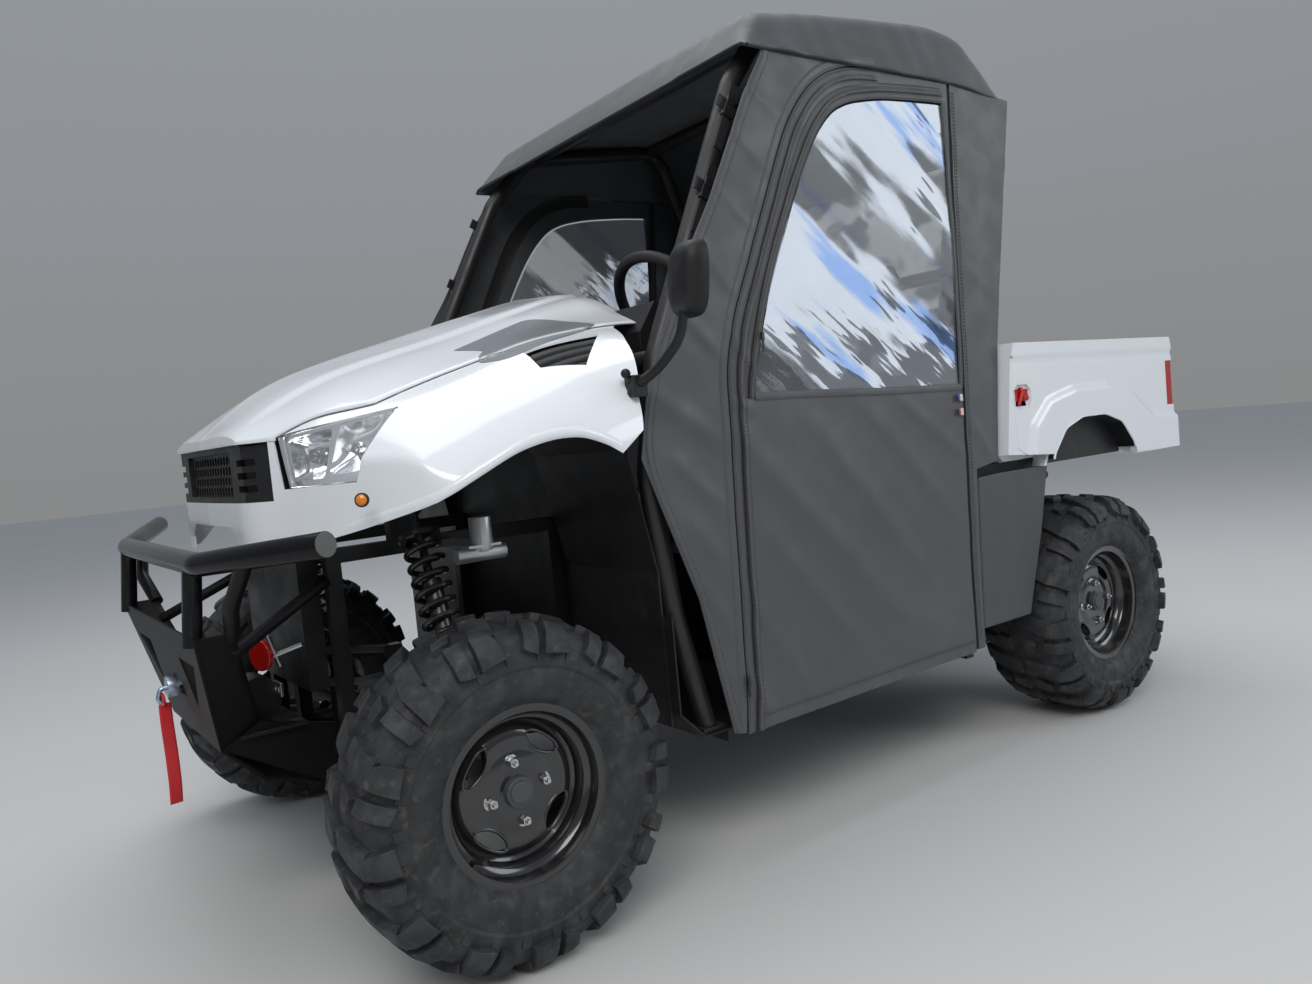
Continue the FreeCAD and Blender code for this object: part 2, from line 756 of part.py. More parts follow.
rear_ball_y = D.rear_wheel_y - 105
front_shock_y = D.kingpin_y - 62
rear_shock_y = rear_ball_y - 75
front_upper_z = 440
rear_upper_z = 420
front_arm_solids = [
    wishbone(D.front_axle_x, D.kingpin_y, lower_ball_z, 288, lower_lug_z[1], lower_lug_z),
    wishbone(D.front_axle_x, D.kingpin_y, upper_ball_z, front_upper_z, upper_lug_z[0], upper_lug_z,
             front_shock_y),
]
feature("front_arms", both_sides(front_arm_solids))
rear_arm_solids = [
    wishbone(rear_axle_x, rear_ball_y, lower_ball_z, 288, lower_lug_z[1], lower_lug_z),
    wishbone(rear_axle_x, rear_ball_y, upper_ball_z, rear_upper_z, upper_lug_z[0], upper_lug_z, rear_shock_y),
]
feature("rear_arms", both_sides(rear_arm_solids))


def knuckle(axle_x, ball_y, disc_in_y, disc_out_y, with_arm):
    """Lugs for both ball joints, the post that joins them, and the spindle out to the wheel."""
    post_y = ball_y + 22
    lugs = []
    for low, high in (lower_lug_z, upper_lug_z):
        lug = box((axle_x - 20, ball_y - 18, low), (axle_x + 20, post_y + 16, high))
        hole = rod((axle_x, ball_y, low - 1), (axle_x, ball_y, high + 1), D.kingpin_radius + D.seat_gap)
        lugs.append(lug.cut(hole))
    post = box((axle_x - 20, post_y, lower_lug_z[0]), (axle_x + 20, post_y + 16, upper_lug_z[1]))
    barrel = rod((axle_x, post_y, axle_z), (axle_x, post_y + 40, axle_z), 45)
    spindle = rod((axle_x, post_y, axle_z), (axle_x, disc_in_y - D.seat_gap, axle_z), D.hub_radius)
    nose = rod((axle_x, post_y, axle_z), (axle_x, disc_out_y + 15, axle_z), D.hub_radius * 0.62 - D.seat_gap)
    pieces = lugs + [post, barrel, spindle, nose]
    if with_arm:
        pieces.append(box((axle_x - 109, ball_y - 29, axle_z + 4), (axle_x - 15, ball_y - 1, axle_z + 16)))
        pieces.append(box((axle_x - 40, ball_y - 29, axle_z + 4), (axle_x - 15, post_y + 10, axle_z + 16)))
    return joined(pieces)


front_disc_out = D.front_wheel_y + D.front_rim_width / 2 - D.disc_recess
rear_disc_out = D.rear_wheel_y + D.rear_rim_width / 2 - D.disc_recess
left_knuckle = knuckle(D.front_axle_x, D.kingpin_y, front_disc_out - D.disc_thickness, front_disc_out, True)
feature("knuckle_left", left_knuckle)
feature("knuckle_right", mirrored(left_knuckle))
rear_carrier = knuckle(rear_axle_x, rear_ball_y, rear_disc_out - D.disc_thickness, rear_disc_out, False)
feature("rear_carriers", both_sides([rear_carrier]))


shock_eye = 18


damper_rod = 9
damper_radius = 20
spring_radius = 34
spring_wire = 6.5
spring_pitch = 30
spring_seat = 43
seat_thickness = 10


def coil_over(foot, head, spring_from, spring_to):
    """A shock absorber with an eye at each end along X, and the coil spring between its two seats."""
    foot = vec(*foot)
    head = vec(*head)
    length = (head - foot).Length
    low = length * spring_from
    high = length * spring_to
    spring_length = high - low
    turns = round(spring_length / spring_pitch)
    helix = Part.makeHelix(spring_length / turns, spring_length, spring_radius)
    ring = Part.Wire(Part.makeCircle(spring_wire, Vector(spring_radius, 0, 0), Vector(0, 1, 0)))
    coil = Part.Wire(helix).makePipeShell([ring], True, True)
    coil.translate(Vector(0, 0, low))
    spring = coil.common(rod((0, 0, low), (0, 0, high), spring_seat + 10))
    damper = joined([
        rod((0, 0, 0), (0, 0, length), damper_rod),
        rod((0, 0, low - seat_thickness - 2), (0, 0, low + spring_length * 0.62), damper_radius),
        rod((0, 0, low - seat_thickness), (0, 0, low), spring_seat),
        rod((0, 0, high), (0, 0, high + seat_thickness), spring_seat)])
    for item in (spring, damper):
        item.Placement = FreeCAD.Placement(foot, FreeCAD.Rotation(Vector(0, 0, 1), head - foot))
    eyes = [rod(eye - Vector(16, 0, 0), eye + Vector(16, 0, 0), shock_eye) for eye in (foot, head)]
    return joined([damper] + eyes), spring


front_foot_z = arm_z_at(front_shock_y, D.kingpin_y, upper_ball_z,
                        front_upper_z) + D.arm_radius + shock_eye + D.seat_gap
rear_foot_z = arm_z_at(rear_shock_y, rear_ball_y, upper_ball_z,
                       rear_upper_z) + D.arm_radius + shock_eye + D.seat_gap
front_shock, front_spring = coil_over((D.front_axle_x, front_shock_y, front_foot_z),
                                      (D.front_axle_x, shock_head_y + shock_eye + D.seat_gap, shock_head_z),
                                      0.24, 0.82)
rear_shock, rear_spring = coil_over((rear_axle_x, rear_shock_y, rear_foot_z),
                                    (rear_axle_x, upright_y + half_rail + shock_eye + D.seat_gap,
                                     bed_rail_z + 13), 0.24, 0.80)
feature("shocks", both_sides([front_shock, rear_shock]))
feature("springs", both_sides([front_spring, rear_spring]))


# Steering

rack_x = D.front_axle_x - 90
rack_z = axle_z + 28
tie_rod_radius = 8
rack_housing = rod((rack_x, -150, rack_z), (rack_x, 150, rack_z), 22)
rack_feet = [box((rack_x - 12, side * 115 - 12, rail_top_z),
                 (rack_x + 12, side * 115 + 12, rack_z)) for side in (1, -1)]
rack_bore = rod((rack_x, -151, rack_z), (rack_x, 151, rack_z), tie_rod_radius + D.seat_gap)
feature("steering_rack", joined([rack_housing] + rack_feet).cut(rack_bore))

rod_end_y = D.kingpin_y - 15
tie_bar = rod((rack_x, -rod_end_y, rack_z), (rack_x, rod_end_y, rack_z), tie_rod_radius)
rod_ends = [rod((rack_x, side * rod_end_y, rack_z - 9), (rack_x, side * rod_end_y, rack_z + 9), 14)
            for side in (1, -1)]
feature("tie_rods", joined([tie_bar] + rod_ends))

column_angle = math.radians(float(D.column_tilt))
down_column = Vector(math.cos(column_angle), 0, -math.sin(column_angle))
wheel_centre = vec(255, D.steering_y, 1215)
column_length = 120
wheel_ring = Part.makeTorus(float(D.steering_wheel_radius), 14, wheel_centre, down_column)
wheel_hub = Part.makeCylinder(42, 22, wheel_centre - down_column * 2, down_column)
spokes = []
for turn in (0, 100, 260):
    direction = Vector(-math.sin(column_angle), 0, -math.cos(column_angle))
    spoke_line = FreeCAD.Rotation(down_column, turn).multVec(direction)
    spokes.append(Part.makeCylinder(9, float(D.steering_wheel_radius), wheel_centre + down_column * 8,
                                    spoke_line))
feature("steering_wheel", joined([wheel_ring, wheel_hub] + spokes))
column_start = wheel_centre + down_column * (20 + float(D.seat_gap))
column_run = column_length - 20 - 2 * float(D.seat_gap)
feature("steering_column", joined([Part.makeCylinder(26, column_run, column_start, down_column)]))

dash_face = wheel_centre + down_column * column_length
along_face = Vector(math.sin(column_angle), 0, math.cos(column_angle))
dash_low = dash_face - along_face * 90
dash_high = dash_face + along_face * 60
dash_bar_x = 535
dash_front_x = dash_bar_x - D.cage_radius + 3 - D.seat_gap
dash = new_body("dash")
pad(dash, "dash_moulding", "XZ_Plane", [[
    (dash_low.x, dash_low.z), (dash_high.x, dash_high.z), (470, 1215), (dash_front_x, 1150),
    (dash_front_x, 1003),
    (420, 950), (dash_low.x + 20, 1000)]], -545, 545)


# Seats

seat_base = new_body("seat_base")
seat_floor_z = 600
pad(seat_base, "seat_box", "XZ_Plane", [[(-395, floor_top_z), (120, floor_top_z), (150, seat_floor_z),
                                         (-380, seat_floor_z)]], -600, 600)
SEAT_SIDE = [
    # along, up: cushion front, cushion top, back, head
    (155, seat_floor_z), (170, 670), (135, 705), (-185, 680), (-235, 900), (-300, 1290), (-318, 1345),
    (-385, 1350), (-408, 1300), (-345, 900), (-335, seat_floor_z)]
SEAT_BOLSTER = [
    # the same for the raised sides of the cushion and back
    (155, seat_floor_z), (176, 668), (142, 722), (-120, 716), (-178, 760), (-206, 905), (-266, 1180),
    (-318, 1240), (-370, 1100), (-345, 900), (-335, seat_floor_z)]
seat_half = 225
bolster_width = 48
for name, middle in (("seat_left", 310), ("seat_right", -310)):
    seat = new_body(name)
    pad(seat, name + "_form", "XZ_Plane", [SEAT_SIDE], middle - seat_half + 12, middle + seat_half - 12)
    for label, low in (("left", middle + seat_half - bolster_width), ("right", middle - seat_half)):
        pad(seat, f"{name}_bolster_{label}", "XZ_Plane", [SEAT_BOLSTER], low, low + bolster_width)


# Roll cage

roof_y = 560
foot_z = floor_top_z + 8
roof_slope = (canopy_inside(-440) - canopy_inside(100)) / 540
roof_drop = (float(D.cage_radius) + float(D.seat_gap)) * math.sqrt(1 + roof_slope ** 2)
roof_front = (100, canopy_inside(100) - roof_drop)
roof_rear = (-440, canopy_inside(-440) - roof_drop)
cage_path = [
    (500, 632, foot_z), (560, 632, 560), (592, 630, 850), (535, 615, 1085), (230, 578, 1690),
    (roof_front[0], roof_y, roof_front[1]), (roof_rear[0], roof_y, roof_rear[1]), (-590, 585, 1590),
    (-505, 615, 1000), (-420, 632, foot_z)]
CAGE_CROSS = [
    # along, half length across, up
    (60, roof_y - 10, canopy_inside(60) - roof_drop),
    (-400, roof_y - 10, canopy_inside(-400) - roof_drop),
    (-547, 590, 1290),
    (dash_bar_x, 605, 1085),
]
cage_tubes = []
for side in (1, -1):
    points = [(along, across * side, up) for along, across, up in cage_path]
    cage_tubes.append(tube(points, D.cage_radius, 110))
    for along in (500, -420):
        cage_tubes.append(box((along - 28, side * 632 - 26, floor_top_z),
                              (along + 28, side * 632 + 26, foot_z + 2)))
for along, across, up in CAGE_CROSS:
    cage_tubes.append(rod((along, -across, up), (along, across, up), D.cage_radius - 3))
feature("roll_cage", joined(cage_tubes))


# Front bodywork, cut from the nose form into hood, fenders and fascia

nose_outer = nose_form(0)
nose_inner = nose_form(D.panel_thickness)
side_cut = prism([(along, -800, up) for along, up in NOSE_SIDE], (0, 1600, 0))
nose_skin = nose_outer.cut(nose_inner).common(side_cut)

HOOD_EDGE = [(1400, 352), (1236, 352), (1080, 470), (820, 512), (400, 512)]
fascia_top_z = 872


def hood_region(inset):
    across_points = [(along, across - inset, 700) for along, across in HOOD_EDGE]
    return prism(across_points + [(along, -across, up) for along, across, up in across_points[::-1]],
                 (0, 0, 800))


half_seam = float(D.panel_gap) / 2
fascia_box = box((1155 + half_seam, -800, 700), (1400, 800, fascia_top_z - half_seam))
grille_opening = box((1150, -338, fascia_top_z + half_seam), (1400, 338, 984))
fascia_opening = box((1155 - half_seam, -800, 700), (1400, 800, fascia_top_z + half_seam))
arch_points = [(1100, -214, 700), (1100, -200, 795), (1100, -160, 824), (1100, 160, 824), (1100, 200, 795),
               (1100, 214, 700)]
fascia = nose_skin.common(fascia_box).cut(prism(arch_points, (300, 0, 0)))

# The lamp looks forward and outward; its outline is pushed through the skin along that line
lamp_out = Vector(0.80, 0.60, 0)
LAMP_CORNERS = [(1228, 345, 990), (1218, 352, 893), (1150, 530, 897), (1062, 520, 1024)]


def lamp_prism(grow):
    """The lamp's outline, pushed both ways, larger all round by grow."""
    corners = [vec(*corner) for corner in LAMP_CORNERS]
    centre = sum(corners, Vector()) * 0.25
    moved = []
    for corner in corners:
        offset = corner - centre
        flat = offset - lamp_out * offset.dot(lamp_out)
        base = centre + flat
        moved.append(base + flat * (grow / 60.0) - lamp_out * 160)
    return Part.Face(Part.makePolygon(moved + [moved[0]])).extrude(lamp_out * 330)


lamp_hole = lamp_prism(0.4)
lamp_depth = nose_form(55)
lamp = nose_outer.common(lamp_prism(0)).cut(lamp_depth)

VENT_CORNERS = [(812, 575, 1050), (672, 585, 1050), (612, 545, 1050), (790, 535, 1050)]
vent_hole = prism(VENT_CORNERS, (0, 0, 300))
vent_centre = (722, 560)


def vent_prism(grow):
    points = []
    for along, across, up in VENT_CORNERS:
        points.append((along + (grow if along > vent_centre[0] else -grow),
                       across + (grow if across > vent_centre[1] else -grow), up))
    return prism(points, (0, 0, 300))


hood = nose_skin.common(hood_region(half_seam)).cut(fascia_opening).cut(grille_opening)
outside = nose_skin.cut(hood_region(-half_seam)).cut(fascia_opening).cut(lamp_hole).cut(vent_hole)
outside = outside.cut(grille_opening).cut(mirrored(lamp_hole)).cut(mirrored(vent_hole))
hood = hood.cut(lamp_hole).cut(mirrored(lamp_hole))


def largest(shape):
    return max(shape.Solids, key=lambda solid: solid.Volume)


left_half = box((300, 0, 500), (1500, 900, 1500))
fender = largest(outside.common(left_half))
feature("hood", largest(hood))
feature("fender_left", fender)
feature("fender_right", mirrored(fender))
feature("fascia", largest(fascia))
feature("headlamps", both_sides([largest(lamp)]))
vent_panel = nose_form(3).common(vent_prism(-0.3)).cut(nose_form(20))
feature("fender_vents", both_sides([largest(vent_panel)]))

# Grille: follows the nose, set back behind it, with a window for the air and three slots a side

screen_x = 1266
SCREEN_ROWS = 4
SCREEN_COLUMNS = 7
cell_step = 24
cell_radius = 11.5
behind_skin = D.panel_thickness + D.seat_gap
grille_body = nose_form(behind_skin).common(box((1150, -345, fascia_top_z - 6), (1400, 345, 992)))
grille_body = grille_body.cut(nose_form(22)).cut(lamp_prism(4)).cut(mirrored(lamp_prism(4)))
for side in (1, -1):
    for row_z in (892, 917, 942):
        grille_body = grille_body.cut(box((1100, side * 265 - 32, row_z),
                                          (1400, side * 265 + 32, row_z + 13)))
grille_body = grille_body.cut(box((1100, -190, 884), (1400, 190, 972)))
screen = box((screen_x, -196, 878), (screen_x + 6, 196, 978))
cells = []
for row in range(SCREEN_ROWS):
    for column in range(-SCREEN_COLUMNS, SCREEN_COLUMNS + 1):
        across = (column + 0.5 * (row % 2)) * cell_step
        up = 894 + row * cell_step * math.sqrt(0.75)
        corners = []
        for turn in range(6):
            angle = math.pi / 6 + turn * math.pi / 3
            corners.append((screen_x - 1, across + cell_radius * math.cos(angle), up + cell_radius *
                            math.sin(angle)))
        cells.append(prism(corners, (8, 0, 0)))
screen = screen.cut(Part.makeCompound(cells))
feature("grille", joined([grille_body, screen]))

# Black liners behind the front wheels

liner_foot = floor_front_x + D.seat_gap
liner_wall = 4
LINER_LINE = [(0, 330), (0, 650), (30, 800), (56, 905), (130, 985), (300, 1000)]
liner_line = [(float(liner_foot) + along, up) for along, up in LINER_LINE]
liner_back = [(liner_line[0][0] + liner_wall, 330), (liner_line[1][0] + liner_wall, 649),
              (liner_line[2][0] + liner_wall, 799),
              (liner_line[3][0] + liner_wall, 903), (liner_line[4][0] + 2, 981), (liner_line[5][0], 996)]
liner_face = Part.Face(Part.makePolygon([vec(along, 285, up) for along, up in liner_line +
                                         liner_back[::-1] + liner_line[:1]]))
feature("wheel_liners", both_sides([liner_face.extrude(Vector(0, 355, 0))]))


# Front bumper: bent top tube, posts, and a bent plate down to the skid

bumper_z = 778
bumper_path = [(1272, 697, 808), (1398, 384, bumper_z), (1398, -384, bumper_z), (1272, -697, 808)]
bumper_tube = tube(bumper_path, D.bumper_radius, 70)
plate = 5
bash_points = [
    [(1422, -378, 648), (1422, 378, 648), (1422 - plate, 378, 648), (1422 - plate, -378, 648)],
    [(1368, -225, 400), (1368, 225, 400), (1368 - plate, 225, 403), (1368 - plate, -225, 403)],
    [(1290, -212, 318), (1290, 212, 318), (1288 - plate, 212, 323), (1288 - plate, -212, 323)],
    [(1126, -212, 262), (1126, 212, 262), (1126, 212, 266), (1126, -212, 266)],
]
bash = joined([ruled_solid(bash_points[step:step + 2]) for step in range(3)])
front_cut_x = front_member_x + half_rail + D.seat_gap
bash = bash.common(box((front_cut_x, -500, 200), (1500, 500, 900)))
window_points = [(1300, -72, 488), (1300, 72, 488), (1300, 72, 518), (1300, -72, 518)]
bash = bash.cut(prism(window_points, (200, 0, 0)))
for side in (1, -1):
    corners = [(1300, side * 150, 585), (1300, side * 290, 585), (1300, side * 165, 480)]
    bash = bash.cut(prism(corners, (200, 0, 0)))
bumper_pieces = [bumper_tube, bash]
for side in (1, -1):
    bumper_pieces.append(rod((1401, side * 345, bumper_z), (1416, side * 345, 630), 17))
    side_wall = ruled_solid([
        [(1419, side * 377, 647), (1350, side * 372, 647), (1350, side * 366, 647), (1419, side * 371, 647)],
        [(1365, side * 224, 402), (1290, side * 222, 440), (1290, side * 216, 440), (1365, side * 218, 402)]])
    lower_wall = ruled_solid([
        [(1366, side * 224, 402), (1290, side * 222, 440), (1290, side * 216, 440), (1366, side * 218, 402)],
        [(front_cut_x, side * 211, 264), (front_cut_x, side * 211, 400), (front_cut_x, side * 205, 400),
         (front_cut_x, side * 205, 264)]])
    bumper_pieces += [side_wall, lower_wall]
    bumper_pieces.append(tube([(1346, side * 505, 788), (1366, side * 440, 700), (1352, side * 366, 640)],
                              14, 60))
    bumper_pieces.append(rod((1352, side * 338, 600), (front_cut_x + 6, side * 272, 700), 12))
bumper_solid = joined(bumper_pieces)
feature("bumper", bumper_solid)

# Winch on its plate between the bumper's side walls

winch_z = 470
winch_x = 1275
winch_plate = box((1200, -230, winch_z - 56), (1330, 230, winch_z - 50)).cut(bumper_solid)
winch_plate = max(winch_plate.Solids, key=lambda solid: solid.Volume)
winch_drum = rod((winch_x, -95, winch_z), (winch_x, 95, winch_z), 30)
winch_ends = [rod((winch_x, low, winch_z), (winch_x, high, winch_z), 46) for low,
              high in ((-170, -95), (95, 170))]
winch_feet = [box((winch_x - 30, side * 110 - 12, winch_z - 52),
                  (winch_x + 30, side * 110 + 12, winch_z - 20))
              for side in (1, -1)]
feature("winch", joined([winch_plate, winch_drum] + winch_ends + winch_feet))
hook_z = 497
hook = tube([(1400, 0, hook_z + 6), (1424, 0, hook_z + 4), (1431, 0, hook_z - 18), (1418, 0, hook_z - 30)],
            5, 10)
stopper = rod((1370, 0, hook_z + 6), (1412, 0, hook_z + 6), 22)
behind_plate = [(1300, -40, 400), (1368 + float(D.seat_gap) * 1.03, -40, 400),
                (1422 + float(D.seat_gap) * 1.03, -40, 648),
                (1300, -40, 648)]
stopper = stopper.cut(prism(behind_plate, (0, 80, 0)))
feature("winch_hook", joined([hook, stopper, rod((1372, 0, hook_z + 6), (1402, 0, hook_z + 6), 8)]))

radiator = tube_box("radiator", (front_member_x + half_rail + D.seat_gap, -205, 470),
                    (front_member_x + half_rail + 42, 205, 742))
nodes.append(radiator)


# Brake master cylinder beside the frame

brake_y = upright_y + half_rail + D.seat_gap
brake_pieces = [
    box((865, brake_y, 742), (935, 495, 747)),
    rod((850, 475, 728), (955, 475, 728), 15),
    rod((897, 475, 735), (897, 475, 800), 22),
]
feature("brake_cylinder", joined(brake_pieces))


# Soft cab: fabric sides with zip doors, a canopy and a sloping back

def cab_y(up):
    return float(D.cab_side_y) - (up - float(D.cab_foot_z)) * float(D.cab_lean)


cab_out = Vector(0, 1, float(D.cab_lean)).normalize()


def side_sheet(points, thickness, back=0.0):
    """A sheet on the left side of the cab; its outer face lies back behind the cab's side."""
    corners = [vec(along, cab_y(up), up) - cab_out * back for along, up in points]
    face = Part.Face(Part.makePolygon(corners + [corners[0]]))
    return face.extrude(cab_out * -float(thickness))


fabric_top_z = float(D.canopy_edge_z - D.seat_gap)
back_top_z = CANOPY_SECTIONS[-1][1] - float(D.seat_gap)
hinge_low = (-352.0, 300.0)
hinge_high = (-462.0, 1742.0)
bead_radius = 5.0
door_edge = [(443, 290), (438, 356), (364, 985), (232, 1328), (95, 1626), (-10, 1708),
             (-125, fabric_top_z - 6)]


def beyond(points, distance):
    """The same line of points moved sideways, forward and up, by distance."""
    moved = []
    for index, (along, up) in enumerate(points):
        before = points[max(index - 1, 0)]
        after = points[min(index + 1, len(points) - 1)]
        run = Vector(after[0] - before[0], after[1] - before[1], 0).normalize()
        moved.append((along + run.y * distance, up - run.x * distance))
    return moved


def on_hinge(share, ahead):
    along = hinge_low[0] + (hinge_high[0] - hinge_low[0]) * share
    up = hinge_low[1] + (hinge_high[1] - hinge_low[1]) * share
    return (along + ahead, up)


FRONT_STRIP = [(244, 1690), (414, 1403), (587, 1053), (636, 883), (531, 586), (478, 297), (449, 288)]
front_strip = side_sheet([(240, fabric_top_z)] + FRONT_STRIP + beyond(door_edge, float(D.door_gap))[1:-1] +
                         [(-118, fabric_top_z)], D.fabric_thickness)
strip_ahead = -(bead_radius + float(D.seat_gap))
REAR_EDGE = [(-385, 300), (-425, 760), (-520, 774), (-566, 1079), (-665, 1498), (-725, back_top_z)]
rear_strip = side_sheet([on_hinge(0, strip_ahead)] + REAR_EDGE + [on_hinge(1, strip_ahead)],
                        D.fabric_thickness)
feature("side_panels", both_sides([front_strip, rear_strip]))

door_sheet = side_sheet(door_edge + [on_hinge(0.995, 2), on_hinge(0.02, 2)], D.fabric_thickness)
WINDOW = [(-400, 988), (-436, 1700), (-154, 1686), (20, 1560), (215, 1260), (330, 988)]
door_sheet = door_sheet.cut(side_sheet(WINDOW, 30, -10))
bead_start = vec(on_hinge(0.01, 0)[0], cab_y(on_hinge(0.01, 0)[1]), on_hinge(0.01, 0)[1]) - cab_out * 2
bead_end = vec(on_hinge(0.99, 0)[0], cab_y(on_hinge(0.99, 0)[1]), on_hinge(0.99, 0)[1]) - cab_out * 2
door_bead = rod(bead_start, bead_end, bead_radius)
door = joined([door_sheet, door_bead])
window = side_sheet([(-386, 975), (-424, 1712), (-150, 1698), (30, 1568), (228, 1264), (346, 975)], 1.5,
                    float(D.fabric_thickness))
feature("door_left", door)
feature("door_right", mirrored(door))
feature("window_left", window)
feature("window_right", mirrored(window))

canopy_sections = []
for place, edge_z, top_z, edge_y, top_y in CANOPY_SECTIONS:
    outer = [(place, edge_y, edge_z), (place, top_y, top_z), (place, -top_y, top_z), (place, -edge_y, edge_z)]
    inner_top = top_z - canopy_wall
    inner = [(place, -edge_y + canopy_wall, edge_z), (place, -top_y + canopy_wall, inner_top),
             (place, top_y - canopy_wall, inner_top), (place, edge_y - canopy_wall, edge_z)]
    canopy_sections.append(outer + inner)
feature("roof_canopy", joined([ruled_solid(canopy_sections[step:step + 2])
                               for step in range(len(canopy_sections) - 1)]))

back_low = (-549, 1000)
back_high = (-713, back_top_z - 0.6)
back_gap = 1.0


def back_point(share, side):
    along = back_low[0] + (back_high[0] - back_low[0]) * share
    up = back_low[1] + (back_high[1] - back_low[1]) * share
    return vec(along + 4, side * (cab_y(up) - float(D.fabric_thickness) - back_gap), up)


back_out = Vector(-(back_high[1] - back_low[1]), 0, back_high[0] - back_low[0]).normalize()
back_corners = [back_point(0, 1), back_point(1, 1), back_point(1, -1), back_point(0, -1)]
back_sheet = Part.Face(Part.makePolygon(back_corners + [back_corners[0]])).extrude(back_out *
                                                                                   -float(D.fabric_thickness))
hole = [back_point(0.28, 0.72), back_point(0.82, 0.72), back_point(0.82, -0.72), back_point(0.28, -0.72)]
back_hole = Part.Face(Part.makePolygon(hole + [hole[0]])).extrude(back_out * -30)
back_hole.translate(back_out * 10)
feature("rear_panel", back_sheet.cut(back_hole))
glass = [back_point(0.27, 0.735), back_point(0.83, 0.735), back_point(0.83, -0.735), back_point(0.27, -0.735)]
back_window = Part.Face(Part.makePolygon(glass + [glass[0]])).extrude(back_out * -1.5)
back_window.translate(back_out * -float(D.fabric_thickness))
feature("rear_window", back_window)

# Quarter panels below the door's rear edge

QUARTER = [(-393, 345), (-602, 345), (-690, 560), (-748, 740), (-530, 740), (-430, 736)]
quarter = side_sheet(QUARTER, 12, 0)
feature("quarter_panels", both_sides([quarter]))


# Mirrors on arms from the cowl

def mirror_head():
    back = [(590, 782, 1145), (590, 868, 1135), (590, 884, 1268), (590, 800, 1282)]
    front = [(640, 800, 1160), (640, 850, 1155), (640, 862, 1250), (640, 814, 1262)]
    return ruled_solid([back, front])


mirror_arm = tube([(614, 824, 1165), (616, 812, 1105), (634, 755, 1052), (656, 722, 1030)], 10, 40)
mirror_arm = mirror_arm.cut(nose_form(-D.seat_gap))
mirror_foot = box((642, 690, 1004), (672, 728, 1050)).cut(nose_form(-D.seat_gap))
feature("mirrors", both_sides([joined([mirror_head(), mirror_arm, mirror_foot])]))


# Cargo bed: double-walled sides over the rear wheels, tipping about the frame's rear pin

bed_front = -D.bed_front_x
bed_rear = rear_axle_x - D.rear_overhang
bed_foot_x = bed_front + 42
flare_depth = 12
rail_step = 6
latch_depth = 5
bed = new_body("cargo_bed")
pad(bed, "bed_block", "XZ_Plane", [[
    (bed_rear + 35, D.bed_floor_z), (bed_foot_x - 40, D.bed_floor_z), (bed_foot_x, 800),
    (bed_front, D.bed_top_z), (bed_rear + 35, D.bed_top_z)]], -D.bed_inner_y - D.bed_wall,
    D.bed_inner_y + D.bed_wall)
doc.recompute()
SIDE_OUTLINE = [
    (bed_rear, 735), (rear_axle_x - 290, 735), (bed_foot_x, 785), (bed_front, D.bed_top_z),
    (bed_rear + 18, D.bed_top_z), (bed_rear, 1010)]
RAIL_OUTLINE = [
    (bed_rear + 4, 1044), (bed_front + 7, 1044), (bed_front, D.bed_top_z), (bed_rear + 18, D.bed_top_z)]
FLARE_OUTLINE = [
    (bed_rear, 735), (rear_axle_x - 200, 735), (rear_axle_x - 200, 740), (rear_axle_x + 200, 740),
    (rear_axle_x + 200, 772), (rear_axle_x + 308, 780), (rear_axle_x + 290, 850), (rear_axle_x + 215, 912),
    (rear_axle_x + 90, 938), (rear_axle_x - 90, 938), (rear_axle_x - 230, 906), (rear_axle_x - 330, 842),
    (bed_rear, 828)]
bed_side_y = D.bed_half_width - flare_depth
bed_rail_y = bed_side_y + rail_step
SIDE_LAYERS = [
    # name, outline, inner face, outer face
    ("side", SIDE_OUTLINE, D.bed_inner_y, bed_side_y),
    ("rail", RAIL_OUTLINE, bed_side_y - 1, bed_rail_y),
    ("flare", FLARE_OUTLINE, bed_side_y - 1, D.bed_half_width),
]
for layer, outline, inner_y, outer_y in SIDE_LAYERS:
    for low, high, label in ((inner_y, outer_y, "left"), (-outer_y, -inner_y, "right")):
        pad(bed, f"bed_{layer}_{label}", "XZ_Plane", [outline], low, high)
arch = [
    (rear_axle_x + 232, 700), (rear_axle_x + 215, 770), (rear_axle_x + 150, 838), (rear_axle_x + 60, 865),
    (rear_axle_x - 60, 865), (rear_axle_x - 150, 838), (rear_axle_x - 215, 770), (rear_axle_x - 232, 700)]
for low, high, label in ((D.bed_inner_y + D.bed_wall + 1, D.bed_half_width + 1, "left"),
                         (-D.bed_half_width - 1, -D.bed_inner_y - D.bed_wall - 1, "right")):
    pocket(bed, "bed_arch_" + label, "XZ_Plane", [arch], low, high)
tailgate_x = bed_rear + 35
load_floor_z = D.bed_floor_z + D.bed_wall
pocket(bed, "bed_load_space", "XY_Plane",
       [rectangle(bed_rear - 5, -D.bed_inner_y, bed_front - D.bed_wall - 14,
                                                     D.bed_inner_y)], load_floor_z, D.bed_top_z + 1)
hollow_low = D.bed_inner_y + D.bed_wall
hollow_high = bed_side_y - D.bed_wall
for label, low, high in (("left", hollow_low, hollow_high), ("right", -hollow_high, -hollow_low)):
    pocket(bed, "bed_hollow_" + label, "XY_Plane", [rectangle(bed_rear + D.bed_wall, low,
                                                              bed_front - D.bed_wall, high)],
           700, D.bed_top_z - D.bed_wall)
